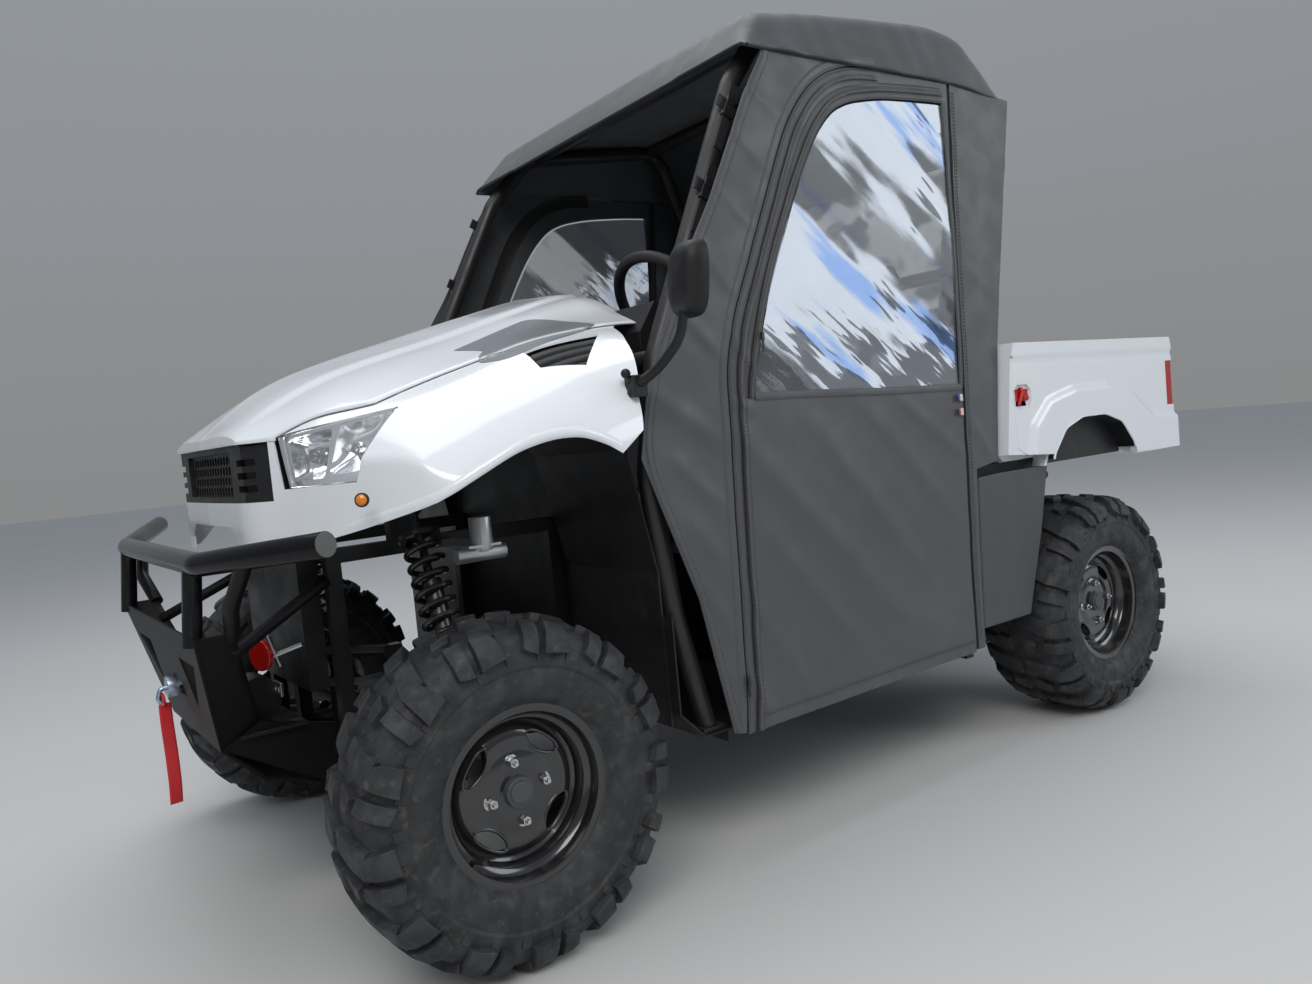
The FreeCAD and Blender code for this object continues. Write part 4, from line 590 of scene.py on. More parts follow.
def add_lug(bm, line, corners, height, pitch, hand):
    """One lug: a block bent over the carcass and a little narrower at its top."""
    corners = [Vector(corner) for corner in corners]
    middle = sum(corners, Vector((0, 0))) / 4
    count = len(bm.verts)
    bm.from_mesh(lug_block)
    bm.verts.ensure_lookup_table()
    for vert in bm.verts[count:]:
        u, v, h = vert.co.x + 0.5, vert.co.y + 0.5, vert.co.z + 0.5
        spot = corners[0].lerp(corners[1], u).lerp(corners[3].lerp(corners[2], u), v)
        spot = middle + (spot - middle) * (1 - LUG_TAPER * h)
        near = along(line, spot.y + 0.02) - along(line, spot.y - 0.02)
        out = Vector((-near.y, near.x, 0)).normalized()
        on = along(line, spot.y) + out * (h * (height + LUG_ROOT) - LUG_ROOT)
        turn = math.tau * (pitch + spot.x + (0.5 if hand < 0 else 0)) / PITCHES * hand
        vert.co = mm(on.y * math.sin(turn), on.x * hand, on.y * math.cos(turn))


def tyre(corner, centre, half):
    bm = bmesh.new()
    outline = [(half * share, TIP_RADIUS - drop) for share, drop in TREAD]
    one_side = outline + [(half * share, radius) for share, radius in SIDE_WALL]
    profile = [(-y, radius) for y, radius in one_side[::-1]] + one_side[1:]
    verts = [bm.verts.new(mm(0, y, radius)) for y, radius in profile]
    edges = [bm.edges.new(pair) for pair in zip(verts, verts[1:])]
    bmesh.ops.spin(bm, geom=verts + edges, cent=(0, 0, 0), axis=(0, 1, 0), angle=math.tau, steps=104,
                   use_merge=True, use_duplicate=False)
    line = [Vector((y, radius, 0)) for y, radius in outline]
    for hand in (1, -1):
        for pitch in range(PITCHES):
            for corners, height in LUGS:
                add_lug(bm, line, corners, height, pitch, hand)
    for step in range(PITCHES * 2):
        spin = Matrix.Rotation(math.tau * (step + 0.3) / (PITCHES * 2), 3, "Y")
        for hand in (1, -1):
            bar = add_block(bm, mm(-9, half * 0.955, TIP_RADIUS - 84), mm(9, half * 1.01, TIP_RADIUS - 60))
            for vert in bar:
                vert.co = spin @ Vector((vert.co.x, vert.co.y * hand, vert.co.z))
    bmesh.ops.translate(bm, verts=bm.verts, vec=centre)
    obj = from_bmesh(f"tyre_{corner}_tread", bm)
    wear(obj, tyre_rubber, "wheel_" + corner, ["tyre_" + corner], bevel=0.0012,
         smooth_angle=32)


RIM_BARREL = [
    # share of the half width, radius: lip and stepped barrel
    (1.0, 160), (1.0, 166), (0.965, 167), (0.955, 160), (0.93, 151), (0.80, 148), (0.70, 147), (0.64, 143),
    (0.60, 136), (0.52, 132), (0.40, 130), (0.20, 128)]
RIM_DISH = [
    # distance out from the face, radius
    (3, 127), (-2, 121), (6, 114), (13, 104), (14, 92), (11, 80), (12, 70), (15, 60), (15, 44), (13, 34),
    (14, 28)]
RIM_BACK = [
    # share of the half width, radius: the lip and barrel on the inner side
    (-1.0, 160), (-1.0, 166), (-0.96, 167), (-0.93, 150), (-0.6, 146), (-0.3, 128)]
NUT = [
    # radius, foot, top, facets, radius at the top: washer, nut, stud
    (15, 0, 2.5, 32, 13), (9.5, 2, 16, 6, 8.5), (4.5, 16, 24, 20, 4.0)]
NUTS, NUT_CIRCLE, NUT_TURN = 4, 55, 0.12
WINDOW_RADIUS, WINDOW_SPREAD = 94, 0.16
DISH_IN = 58


def rim_window(x, y, half_width, half_height):
    """A place in a rim's window as (along, out from the axle); it is wider towards the tyre."""
    return x * half_width * (1.0 + WINDOW_SPREAD * y), WINDOW_RADIUS + y * half_height


def rim(corner, centre, half, side):
    """A dished steel wheel with four oval windows between four nuts."""
    name, wheel, face = f"rim_{corner}_steel", "wheel_" + corner, half - DISH_IN
    bm = bmesh.new()
    front = [(half * share, radius) for share, radius in RIM_BARREL]
    front += [(face + out, radius) for out, radius in RIM_DISH]
    back = [(half * share, radius) for share, radius in RIM_BACK] + [(face - 6, 126), (half * 0.2, 127)]
    for line in (front, back):
        verts = [bm.verts.new(mm(0, across * side, radius)) for across, radius in line]
        edges = [bm.edges.new(pair) for pair in zip(verts, verts[1:])]
        bmesh.ops.spin(bm, geom=verts + edges, cent=(0, 0, 0), axis=(0, 1, 0), angle=math.tau, steps=96,
                       use_merge=True)
    body = from_bmesh(name, bm)
    cutter = bmesh.new()
    rings = []
    for step in range(NUTS):
        turn = Matrix.Rotation(math.tau * (step + 0.5) / NUTS + NUT_TURN, 3, "Y")
        plug = bmesh.ops.create_cone(cutter, cap_ends=True, segments=32, radius1=1, radius2=1, depth=0.08)
        for vert in plug["verts"]:
            x, z = rim_window(vert.co.x, vert.co.y, 37, 15)
            vert.co = turn @ Vector((x / 1000, (vert.co.z + (face + 10) / 1000) * side, z / 1000))
        ring = []
        for index in range(33):
            angle = math.tau * index / 32
            x, z = rim_window(math.cos(angle), math.sin(angle), 38, 16)
            ring.append(turn @ mm(x, (face + 12.5) * side, z) + centre)
        rings.append(ring)
    walled(body, 0.003)
    cut(body, from_bmesh("window_cutter", cutter))
    body.data.transform(Matrix.Translation(centre))
    wear(body, rim_black, wheel, ["rim_" + corner], smooth_angle=30)
    for index, ring in enumerate(rings):
        wear(add_tube(f"{name}_window_{index}", ring, 0.0035, rings=4), rim_black, wheel)
    bm = bmesh.new()
    seat = (face + 15) * side
    for step in range(NUTS):
        turn = Matrix.Rotation(math.tau * step / NUTS + NUT_TURN, 3, "Y")
        for radius, foot, top, facets, tip in NUT:
            start = turn @ mm(0, seat + foot * side, NUT_CIRCLE) + centre
            stop = turn @ mm(0, seat + top * side, NUT_CIRCLE) + centre
            add_rod(bm, start, stop, radius / 1000, facets, tip / 1000)
    wear(from_bmesh(name + "_nuts", bm), bright_steel, wheel, bevel=0.0006)
    bm = bmesh.new()
    base = (face + 14) * side
    for foot, top, radius, tip in ((-3, 16, 0.0285, 0.027), (16, 20, 0.021, 0.018)):
        start, stop = mm(0, base + foot * side, 0), mm(0, base + top * side, 0)
        add_rod(bm, start + centre, stop + centre, radius, 40, tip)
    wear(from_bmesh(name + "_cap", bm), dark_grey_plastic, wheel, bevel=0.0012)
    bm = bmesh.new()
    turn = Matrix.Rotation(2.3, 3, "Y")
    foot = half * 0.62
    for low, high, low_radius, high_radius, radius in ((0, 30, 139, 132, 0.0042), (26, 36, 133, 131, 0.0052)):
        start, stop = mm(0, (foot + low) * side, low_radius), mm(0, (foot + high) * side, high_radius)
        add_rod(bm, turn @ start + centre, turn @ stop + centre, radius, 16)
    wear(from_bmesh(name + "_valve", bm), soft_black, wheel)


WHEELS = [
    # name, axle place, distance out, half width of the tyre and of the rim
    ("front_left", 975, 633, 102.5, 82), ("front_right", 975, -633, 102.5, 82),
    ("rear_left", -950, 614, 127.5, 103), ("rear_right", -950, -614, 127.5, 103)]
for wheel_name, axle_x, wheel_y, tyre_half, rim_half in WHEELS:
    middle = mm(axle_x, wheel_y, TIP_RADIUS)
    tyre(wheel_name, middle, tyre_half)
    rim(wheel_name, middle, rim_half, 1 if wheel_y > 0 else -1)


# The nose: hood, fenders and fascia as one smooth skin, cut where the lamps and the grille go

COLUMNS = (0, 250, 400, 560, 650, 705, 740)
NOSE = [
    # place along, then the skin's height at each column out from the middle
    (440, (1302, 1272, 1212, 1150, 1110, 1050, 930)),
    (500, (1298, 1268, 1215, 1158, 1112, 1050, 935)),
    (640, (1262, 1232, 1192, 1150, 1100, 1025, 930)),
    (810, (1215, 1182, 1150, 1116, 1060, 990, 910)),
    (1065, (1140, 1112, 1075, 1005, 940, 860, 800)),
    (1180, (1088, 1062, 1020, 905, 850, 800, 760)),
    (1300, (995, 985, 900, 820, 790, 770, 750))]
PLAN = [
    # the nose seen from above: along, across
    (1290, 0), (1284, 275), (1236, 350), (1150, 545), (1065, 682), (1000, 714), (900, 733), (780, 738),
    (640, 728), (430, 718)]
ARCH_LINE = [
    # along, up: the lower edge of the fascia and the wheel arch
    (1190, 796), (1067, 850), (999, 890), (928, 926), (860, 941), (800, 940), (745, 919), (716, 902)]
LOWER_EDGE = [(1330, 765), (1250, 768)] + ARCH_LINE + [
    # then the fender's rear edge and the space below
    (662, 941), (650, 1010), (628, 1060), (600, 1120), (572, 1160), (505, 1190), (480, 1230), (440, 1300),
    (200, 1300), (200, 690), (1330, 690)]
HOOD_SEAM = [(1240, 352), (1080, 470), (820, 512), (430, 512)]
HOOD_FRONT = [
    # across, along: the hood's front edge
    (352, 1235), (275, 1284), (0, 1290)]
HOOD_REAR, HOOD_LIP_FROM = 447, 0.94
GRILLE_FOOT, GRILLE_TOP = 872, 984
GRILLE_OPENING = [(-337, GRILLE_FOOT), (337, GRILLE_FOOT), (337, 1010), (-337, 1010)]
CHIN_OPENING = [(-214, 700), (-200, 795), (-160, 824), (160, 824), (200, 795), (214, 700)]
NOSE_TIP, NOSE_FULL = 1290, 1180
RISE, RIDGE = 7.0, 245
SEAM = 1.4
SEAM_X, SEAM_Y = HOOD_SEAM[0]
SKIN_WALL = 0.004
ALONG_X, ACROSS, UP = Vector((1, 0, 0)), Vector((0, 1, 0)), Vector((0, 0, 1))


def skin(x, y):
    """The height of the nose's skin over a place, in mm, with the raised middle of the hood."""
    y = abs(y)
    column_heights = [(column, curve_through([(row[0], row[1][index]) for row in NOSE], x))
                      for index, column in enumerate(COLUMNS)]
    height = curve_through(column_heights, y)
    ridge = RIDGE - 0.05 * (NOSE_TIP - x)
    full = smooth(NOSE_TIP, NOSE_FULL, x)
    raised = RISE * (1 - smooth(ridge - 16, ridge + 16, y)) * full
    across = smooth(560, 610, y) * (1 - smooth(650, 700, y))
    shoulder = -RISE * across * smooth(560, 640, x) * (1 - smooth(1000, 1100, x))
    return height - RISE * full + raised + shoulder


def from_table(table, x):
    """Straight lines through rows (along, value) that run from the front to the rear."""
    for (x0, v0), (x1, v1) in zip(table, table[1:]):
        if x1 <= x <= x0:
            return mix(v0, v1, (x0 - x) / (x0 - x1))
    return table[0][1] if x > table[0][0] else table[-1][1]


plan_line = bent([(x, y, 0) for x, y in PLAN], 70, 5)


def fender_form(u, v):
    """From the hood's seam over the shoulder and down to the wheel arch; u runs front to rear."""
    outer = along(plan_line, mix(0.0, 0.985, u))
    if outer.y < SEAM_Y:
        inner = Vector((outer.x - 2, outer.y, 0))
    else:
        inner_x = mix(SEAM_X, 1062, min((outer.y - SEAM_Y) / 360, 1.0)) if outer.x > 1065 else outer.x
        inner = Vector((inner_x, from_table(HOOD_SEAM, inner_x) + SEAM, 0))
    spots = [inner.lerp(outer, step / 14) for step in range(15)]
    line = [Vector((spot.x, spot.y, skin(spot.x, spot.y))) for spot in spots]
    line.append(Vector((outer.x, outer.y, 735)))
    line = line[:13] + bent(line[13:], 22, 5)[1:]
    return along(line, v) / 1000


def hood_form(u, v):
    """The hood between its seams, from the rear edge to the lip over the grille."""
    across = u * 2 - 1
    front = from_table(HOOD_FRONT, SEAM_Y * abs(across)) - 1.5
    x = mix(HOOD_REAR, front, min(v / HOOD_LIP_FROM, 1.0))
    y = across * (from_table(HOOD_SEAM, x) - SEAM)
    drop = max((v - HOOD_LIP_FROM) / (1 - HOOD_LIP_FROM), 0.0)
    return mm(x, y, mix(skin(x, y), min(GRILLE_TOP, skin(x, y) - 5), drop))


LAMP = [(1228, 345, 990), (1218, 352, 893), (1150, 530, 897), (1062, 520, 1024)]
LAMP_OUT = Vector((0.80, 0.60, 0))
VENT = [(807, 555), (805, 613), (722, 645), (628, 558)]


def prism_cutter(name, corners, way, low, high, both=True):
    """A closed prism through the corners, from low to high along its way, on both sides of the part."""
    bm = bmesh.new()
    face = bm.faces.new([bm.verts.new((Vector(corner) + way * low) / 1000) for corner in corners])
    made = bmesh.ops.extrude_face_region(bm, geom=[face])["geom"]
    bmesh.ops.translate(bm, verts=[part for part in made if isinstance(part, bmesh.types.BMVert)],
                        vec=way * (high - low) / 1000)
    if both:
        mirrored(bm)
    return from_bmesh(name, bm)


lamp_middle = sum((Vector(corner) for corner in LAMP), Vector()) / 4


def lamp_outline(grow):
    """The lamp's corners seen along its own line, moved out by grow."""
    corners = []
    for corner in LAMP:
        offset = Vector(corner) - lamp_middle
        flat = offset - LAMP_OUT * offset.dot(LAMP_OUT)
        corners.append(lamp_middle + flat * (1 + grow / 60.0))
    return corners


def nose():
    bm = bmesh.new()
    add_sheet(bm, 150, 34, fender_form)
    mirrored(bm)
    bmesh.ops.remove_doubles(bm, verts=bm.verts, dist=0.0006)
    body = walled(from_bmesh("fenders_skin", bm), SKIN_WALL)
    grille = [(1150, y, z) for y, z in GRILLE_OPENING]
    chin = [(1100, y, z) for y, z in CHIN_OPENING]
    below = [(x, -900, z) for x, z in LOWER_EDGE]
    cut(body,
        prism_cutter("lamp_cut", lamp_outline(1.0), LAMP_OUT, -160, 170),
        prism_cutter("vent_cut", [(x, y, 0) for x, y in VENT], UP, 1030, 1300),
        prism_cutter("grille_cut", grille, ALONG_X, 0, 250, both=False),
        prism_cutter("chin_cut", chin, ALONG_X, 0, 300, both=False),
        prism_cutter("foot_cut", below, ACROSS, 0, 1800, both=False))
    wear(body, white_plastic, "chassis", ["fender_left", "fender_right", "fascia"],
         smooth_angle=38)

    bm = bmesh.new()
    add_sheet(bm, 64, 90, hood_form)
    hood = walled(from_bmesh("hood_skin", bm), SKIN_WALL)
    wear(hood, white_plastic, "chassis", ["hood"], smooth_angle=38)


nose()


# The soft cab: side fabric with zip doors and clear windows, laid on a leaning plane with its folds

CAB_FOOT_Y, CAB_FOOT_Z, CAB_LEAN = 697, 290, 0.0323
OUTER_ZIP = [
    # along, up: from the door's foot up its front and back under the canopy
    (443, 290), (433, 356), (397, 979), (389, 1060), (355, 1163), (321, 1232), (249, 1376), (190, 1499),
    (144, 1587), (96, 1648), (51, 1690), (-8, 1726), (-86, 1750), (-183, 1757)]
STRIP_FRONT = [
    # along, up: the front edge of the strip before the door
    (478, 297), (531, 586), (636, 883), (599, 1040), (457, 1304), (392, 1402), (343, 1486), (257, 1646),
    (196, 1736), (188, 1762)]
WINDOW_LINE = [
    # along, up: the clear sheet's front and top edge, under the inner zip
    (325, 985), (313, 1045), (285, 1127), (246, 1228), (188, 1343), (129, 1455), (83, 1532), (39, 1592),
    (-14, 1642), (-73, 1668), (-172, 1688), (-318, 1701), (-432, 1706)]
WINDOW_REAR = [(-432, 1554), (-424, 1328), (-405, 1101), (-393, 974)]
WINDOW_FOOT = [(-393, 968), (-101, 972), (174, 981), (322, 983)]
DOOR_REAR = [(-455, 1755), (-345, 296)]
DOOR_FOOT_FRONT = (441, 286)
STRIP_REAR = [
    # along, up: the panel behind the door, up its hinge seam and down its rear edge
    (-358, 300), (-468, 1757), (-725, 1745), (-665, 1498), (-566, 1079), (-520, 774), (-425, 760),
    (-385, 300)]
SEAM_BACKING = [(-343, 300), (-453, 1757)]
SEAM_STITCHES = [(-366, 320), (-474, 1745)]
FOOT_STITCHES = [(-345, 322), (430, 312)]
FOLDS = [
    # start along, up, end along, up, width, height
    (400, 930, -60, 470, 34, 7), (330, 700, 40, 360, 26, 5), (180, 960, -190, 520, 30, 6),
    (-20, 955, -330, 640, 26, 5), (-150, 960, -380, 800, 18, 4), (420, 600, 240, 330, 20, 4),
    (60, 520, -340, 330, 30, 4), (436, 420, 360, 300, 16, 5), (395, 985, 325, 960, 12, 4),
    (370, 1130, 300, 1010, 12, 4), (590, 1010, 430, 900, 20, 6), (560, 880, 440, 760, 18, 5),
    (540, 760, 450, 640, 18, 4), (520, 620, 450, 500, 14, 4), (500, 1180, 400, 1080, 14, 5),
    (430, 1310, 345, 1210, 14, 5), (360, 1430, 270, 1350, 12, 5), (300, 1560, 210, 1480, 12, 5),
    (250, 1660, 150, 1600, 12, 5), (150, 1740, 60, 1700, 10, 4), (-410, 900, -500, 780, 16, 4),
    (-450, 1300, -590, 1200, 16, 3), (-470, 1600, -690, 1560, 18, 3)]
FOLD_SHARE = 0.8
CORNER_BEND = 60
MARGIN = 8


def fold_height(x, z):
    """How far the fabric stands off its plane, in mm."""
    total = 0.0
    for x0, z0, x1, z1, width, height in FOLDS:
        run = Vector((x1 - x0, z1 - z0))
        spot = Vector((x - x0, z - z0))
        share = spot.dot(run) / run.length_squared
        if -0.2 < share < 1.2:
            off = (spot - run * share).length / width
            if off < 3:
                ends = smooth(-0.2, 0.25, share) * (1 - smooth(0.7, 1.2, share))
                total += height * math.exp(-off * off) * ends
    broad = noise.noise(Vector((x * 0.0045, 3.1, z * 0.0032))) * 4.0
    fine = noise.noise(Vector((x * 0.018 + z * 0.010, 7.7, z * 0.013))) * 1.5
    return total + broad + fine


def cab_plane(z):
    """How far out the cab's side stands at a height, without its folds."""
    return CAB_FOOT_Y - (z - CAB_FOOT_Z) * CAB_LEAN


def cab_point(x, z, lift=0.0, side=1):
    return mm(x, (cab_plane(z) + fold_height(x, z) * FOLD_SHARE + lift) * side, z)


def side_prism(name, outline, side):
    corners = [(x, side * 600, z) for x, z in outline]
    return prism_cutter(name, corners, ACROSS * side, 0, 150, both=False)


def fabric_panel(name, outline, holes, body, replaced, side, cell=12, thickness=0.003, hem=0):
    """A fabric panel cut to its outline from a folded sheet; hem is the height of its crinkled foot."""
    xs, zs = [x for x, z in outline], [z for x, z in outline]
    low_x, high_x = min(xs) - MARGIN, max(xs) + MARGIN
    low_z, high_z = min(zs) - MARGIN, max(zs) + MARGIN
    bm = bmesh.new()

    def place(u, v):
        x, z = mix(low_x, high_x, u), mix(low_z, high_z, v)
        lift = 0.0
        if hem and z < min(zs) + hem:
            crinkle = math.sin(x * 0.33 + 2.2 * math.sin(x * 0.021))
            lift = 1.6 + 1.4 * crinkle * (1 - abs((z - min(zs)) / hem - 0.5))
        return cab_point(x, z, lift, side)

    add_sheet(bm, int((high_x - low_x) / cell), int((high_z - low_z) / cell), place)
    obj = from_bmesh(name, bm)
    walled(obj, thickness, -1 if obj.data.polygons[0].normal.y * side > 0 else 1)
    cut(obj, *[side_prism(name + "_hole", hole, side) for hole in holes],
        keep=side_prism(name + "_outline", outline, side))
    wear(obj, cab_vinyl, body, replaced, smooth_angle=50)
    area = sum(face.area for face in obj.data.polygons) / 2
    height = (max(zs) - min(zs)) / 1000
    width = max((max(xs) - min(xs)) / 1000 * 0.35, area / height / 0.8)


def offset_line(line, off):
    """A line of (along, up) moved sideways, to the left of its direction for a positive distance."""
    moved = []
    for index, point in enumerate(line):
        before, after = line[max(index - 1, 0)], line[min(index + 1, len(line) - 1)]
        run = Vector((after[0] - before[0], after[1] - before[1])).normalized()
        moved.append((point[0] - run.y * off, point[1] + run.x * off))
    return moved


def smooth_line(line, radius=CORNER_BEND):
    return [(point.x, point.z) for point in bent(upright(line), radius, 4)]


def band(name, line, near, far, lift, body, side, material, ridge=0.0, thick=1.6):
    """A tape on the fabric along a line, between two offsets; ridge raises its middle."""
    line = upright(line)
    bm = bmesh.new()

    def place(u, v):
        here, ahead, behind = along(line, u), along(line, min(u + 0.004, 1)), along(line, max(u - 0.004, 0))
        run = (ahead - behind).normalized()
        off = mix(near, far, v)
        x, z = here.x - run.z * off, here.z + run.x * off
        edge = thick if min(v, 1 - v) > 0.01 else -1.0
        return cab_point(x, z, lift + edge + ridge * math.exp(-((v - 0.5) * 9) ** 2), side)

    add_sheet(bm, int(length_of(line) / 9), 14 if ridge else 5, place)
    wear(from_bmesh(name, bm), material, body, smooth_angle=60)


def add_bar(bm, here, ahead, off, lift, half, side):
    """A small bar on the fabric, in line with a run and beside it."""
    run = (ahead - here).normalized() if (ahead - here).length > 0.1 else ALONG_X
    middle = cab_point(here.x - run.z * off, here.z + run.x * off, lift, side)
    turn = Matrix.Rotation(-math.atan2(run.z, run.x), 3, "Y")
    add_block(bm, middle - half, middle + half, turn, middle)


STITCH_PITCH, STITCH_HALF = 9.0, mm(2.6, 1.05, 0.55)
TOOTH_PITCH, TOOTH_HALF = 4.2, mm(1.3, 1.2, 3.2)
thread_grey = moulded("thread_grey", (0.12, 0.12, 0.125), 0.7, 2000)
zip_tape = cloth_look("zip_tape", (0.030, 0.028, 0.027), 0.6, 1800.0)
zip_teeth = moulded("zip_teeth", (0.012, 0.012, 0.012), 0.28, 400)


def stitches(name, line, offsets, lift, body, side):
    """Rows of stitches beside a tape."""
    line = upright(line)
    length = length_of(line)
    bm = bmesh.new()
    for off in offsets:
        for index in range(int(length / STITCH_PITCH)):
            u = (index + 0.5) * STITCH_PITCH / length
            add_bar(bm, along(line, u), along(line, min(u + 0.004, 1)), off, lift, STITCH_HALF, side)
    wear(from_bmesh(name, bm), thread_grey, body)


def zip_along(name, line, door, side, width):
    """A zip: two tapes, the toothed coil between them and rows of stitches."""
    band(name + "_tape", line, -width, width, 0.6, door, side, cab_vinyl)
    band(name + "_flap", line, -7, 7, 2.2, door, side, zip_tape, ridge=1.2, thick=1.0)
    stitches(name + "_stitches", line, (-width + 4, -9, 9, width - 4), 2.6, door, side)
    line = upright(line)
    length = length_of(line)
    bm = bmesh.new()
    for index in range(int(length / TOOTH_PITCH)):
        here = along(line, (index + 0.5) * TOOTH_PITCH / length)
        ahead = along(line, min((index + 1.5) * TOOTH_PITCH / length, 1))
        add_bar(bm, here, ahead, 0, 4.6, TOOTH_HALF, side)
    wear(from_bmesh(name + "_teeth", bm), zip_teeth, door)


def window_sheet(name, side, door, replaced):
    """The clear sheet, a little wavy, under the tapes round its edge."""
    outline = offset_line(smooth_line(WINDOW_LINE), 8) + offset_line(WINDOW_REAR, 8)
    xs, zs = [x for x, z in outline], [z for x, z in outline]
    bm = bmesh.new()

    def place(u, v):
        x, z = mix(min(xs) - 5, max(xs) + 5, u), mix(min(zs) - 5, max(zs) + 5, v)
        long_wave = noise.noise(Vector((x * 0.006 + z * 0.004, 2.2, z * 0.004)))
        short_wave = noise.noise(Vector((x * 0.016 - z * 0.010, 5.2, z * 0.012)))
        return mm(x, (cab_plane(z) - 2.6 + (3.2 * long_wave + 1.6 * short_wave)) * side, z)

    add_sheet(bm, 64, 62, place)
    obj = walled(from_bmesh(name, bm), 0.001, 0)
    cut(obj, keep=side_prism(name + "_outline", outline, side))
    wear(obj, clear_vinyl, door, replaced, smooth_angle=60)


door_front = smooth_line(OUTER_ZIP)
window_front = smooth_line(WINDOW_LINE)
front_hem = smooth_line(STRIP_FRONT)
window_rear = WINDOW_LINE[-1:] + WINDOW_REAR
for label, side in SIDES:
    door = "door_" + label
    door_outline = offset_line(door_front, 2.5) + DOOR_REAR + [DOOR_FOOT_FRONT]
    fabric_panel(door + "_fabric", door_outline, [window_front + WINDOW_REAR], door, [door], side, hem=26)
    window_sheet("window_" + label + "_sheet", side, door, ["window_" + label])
    strip_outline = STRIP_FRONT + [(-183, 1762)] + offset_line(door_front, -2.5)[::-1]
    fabric_panel("front_strip_" + label, strip_outline, [], "chassis", [], side)
    side_node = ["side_panels"] if label == "left" else []
    fabric_panel("rear_strip_" + label, STRIP_REAR, [], "chassis", side_node, side)
    zip_along("door_zip_" + label, offset_line(door_front, 26), door, side, 24)
    band("strip_zip_tape_" + label, offset_line(door_front, -3), -22, 0, 0.6, "chassis", side, cab_vinyl)
    zip_along("window_zip_" + label, offset_line(window_front, -17), door, side, 20)
    band("door_zip_backing_" + label, door_front, -12, 30, -5.5, "chassis", side, lining_black)
    band("rear_seam_backing_" + label, SEAM_BACKING, -4, 22, -6.5, "chassis", side, lining_black)
    band("window_foot_hem_" + label, WINDOW_FOOT, -4, 16, 0.8, door, side, cab_vinyl)
    stitches("window_foot_stitches_" + label, WINDOW_FOOT, (1,), 3.0, door, side)
    band("window_rear_tape_" + label, window_rear, -6, 8, 0.8, door, side, cab_vinyl)
    stitches("window_rear_stitches_" + label, window_rear, (-3, 5), 3.0, door, side)
    stitches("rear_seam_stitches_" + label, SEAM_STITCHES, (0, 7), 1.2, "chassis", side)
    band("strip_front_hem_" + label, front_hem, 2, 24, 0.6, "chassis", side, cab_vinyl)
    stitches("strip_front_stitches_" + label, front_hem, (6, 20), 2.6, "chassis", side)
    stitches("door_foot_stitches_" + label, FOOT_STITCHES, (0, 4), 2.2, door, side)


# The canopy: one sheet pulled over the roof tubes, its skirt bound in black

CANOPY = [
    # along, edge height, top height, half width at the edge, half width at the top
    (238, 1750, 1760, 655, 640), (205, 1751, 1806, 655, 622), (150, 1752, 1862, 655, 604),
    (-450, 1760, 1938, 655, 592), (-560, 1755, 1934, 653, 590), (-620, 1750, 1914, 650, 590),
    (-690, 1746, 1845, 646, 592), (-718, 1745, 1784, 640, 600), (-723, 1743, 1747, 634, 612)]
CANOPY_FRONT, CANOPY_REAR = CANOPY[0][0], CANOPY[-1][0]
CANOPY_FLAT = (1.62, 1.04)


def canopy_point(u, v, lift=0.0):
    share = 0.5 - 0.5 * math.cos(math.pi * u)
    x = mix(CANOPY_FRONT, CANOPY_REAR, mix(u, share, 0.6))
    edge_z, top_z, edge_y, top_y = [curve_through([(row[0], row[column]) for row in CANOPY], x)
                                    for column in range(1, 5)]
    crown = 9 * smooth(CANOPY_FRONT, 100, x) * smooth(CANOPY_REAR, -660, x)
    corners = [(x, edge_y, edge_z), (x, top_y, top_z), (x, top_y * 0.5, top_z + crown * 0.8),
               (x, 0, top_z + crown)]
    half = bent(corners, 46, 7)
    spot = along(half, v * 2 if v < 0.5 else 2 - v * 2)
    near = smooth(0.30, 0.04, min(v, 1 - v))
    wrinkle = (1.5 * noise.noise(Vector((x * 0.014, spot.z * 0.02, 4 + v * 3))) * (0.4 + near) +
               0.8 * math.sin(x * 0.055 + 2.0 * math.sin(x * 0.017)) * near * near)
    out = Vector((0, 1, 0.35)).normalized() if v < 0.2 or v > 0.8 else UP
    spot = spot + out * (wrinkle - 2.5 + lift)
    return mm(spot.x, spot.y if v < 0.5 else -spot.y, spot.z)


def canopy():
    bm = bmesh.new()
    add_sheet(bm, 96, 112, canopy_point)
    area = min(sum(face.calc_area() for face in bm.faces), CANOPY_FLAT[0] * CANOPY_FLAT[1])
    obj = walled(from_bmesh("canopy_sheet", bm), 0.003)
    wear(obj, canopy_vinyl, "chassis", ["roof_canopy"], smooth_angle=60)
    edges = {}
    for label, side in SIDES:
        points = [canopy_point(step / 60, 0.0, 1.0) for step in range(61)]
        edges[label] = [Vector((point.x, point.y * side, point.z)) for point in points]
    for label, u in (("front", 0.0), ("rear", 1.0)):
        edges[label] = [canopy_point(u, step / 80) for step in range(81)]
    for label, line in edges.items():
        wear(add_tube("canopy_binding_" + label, line, 0.0042, rings=3), webbing_black, "chassis")


canopy_vinyl = cloth_look("canopy_vinyl", (0.050, 0.053, 0.058), 0.50)
canopy()


# Lamps: a chrome bezel and bowl, two chambers, a clear lens flush with the skin

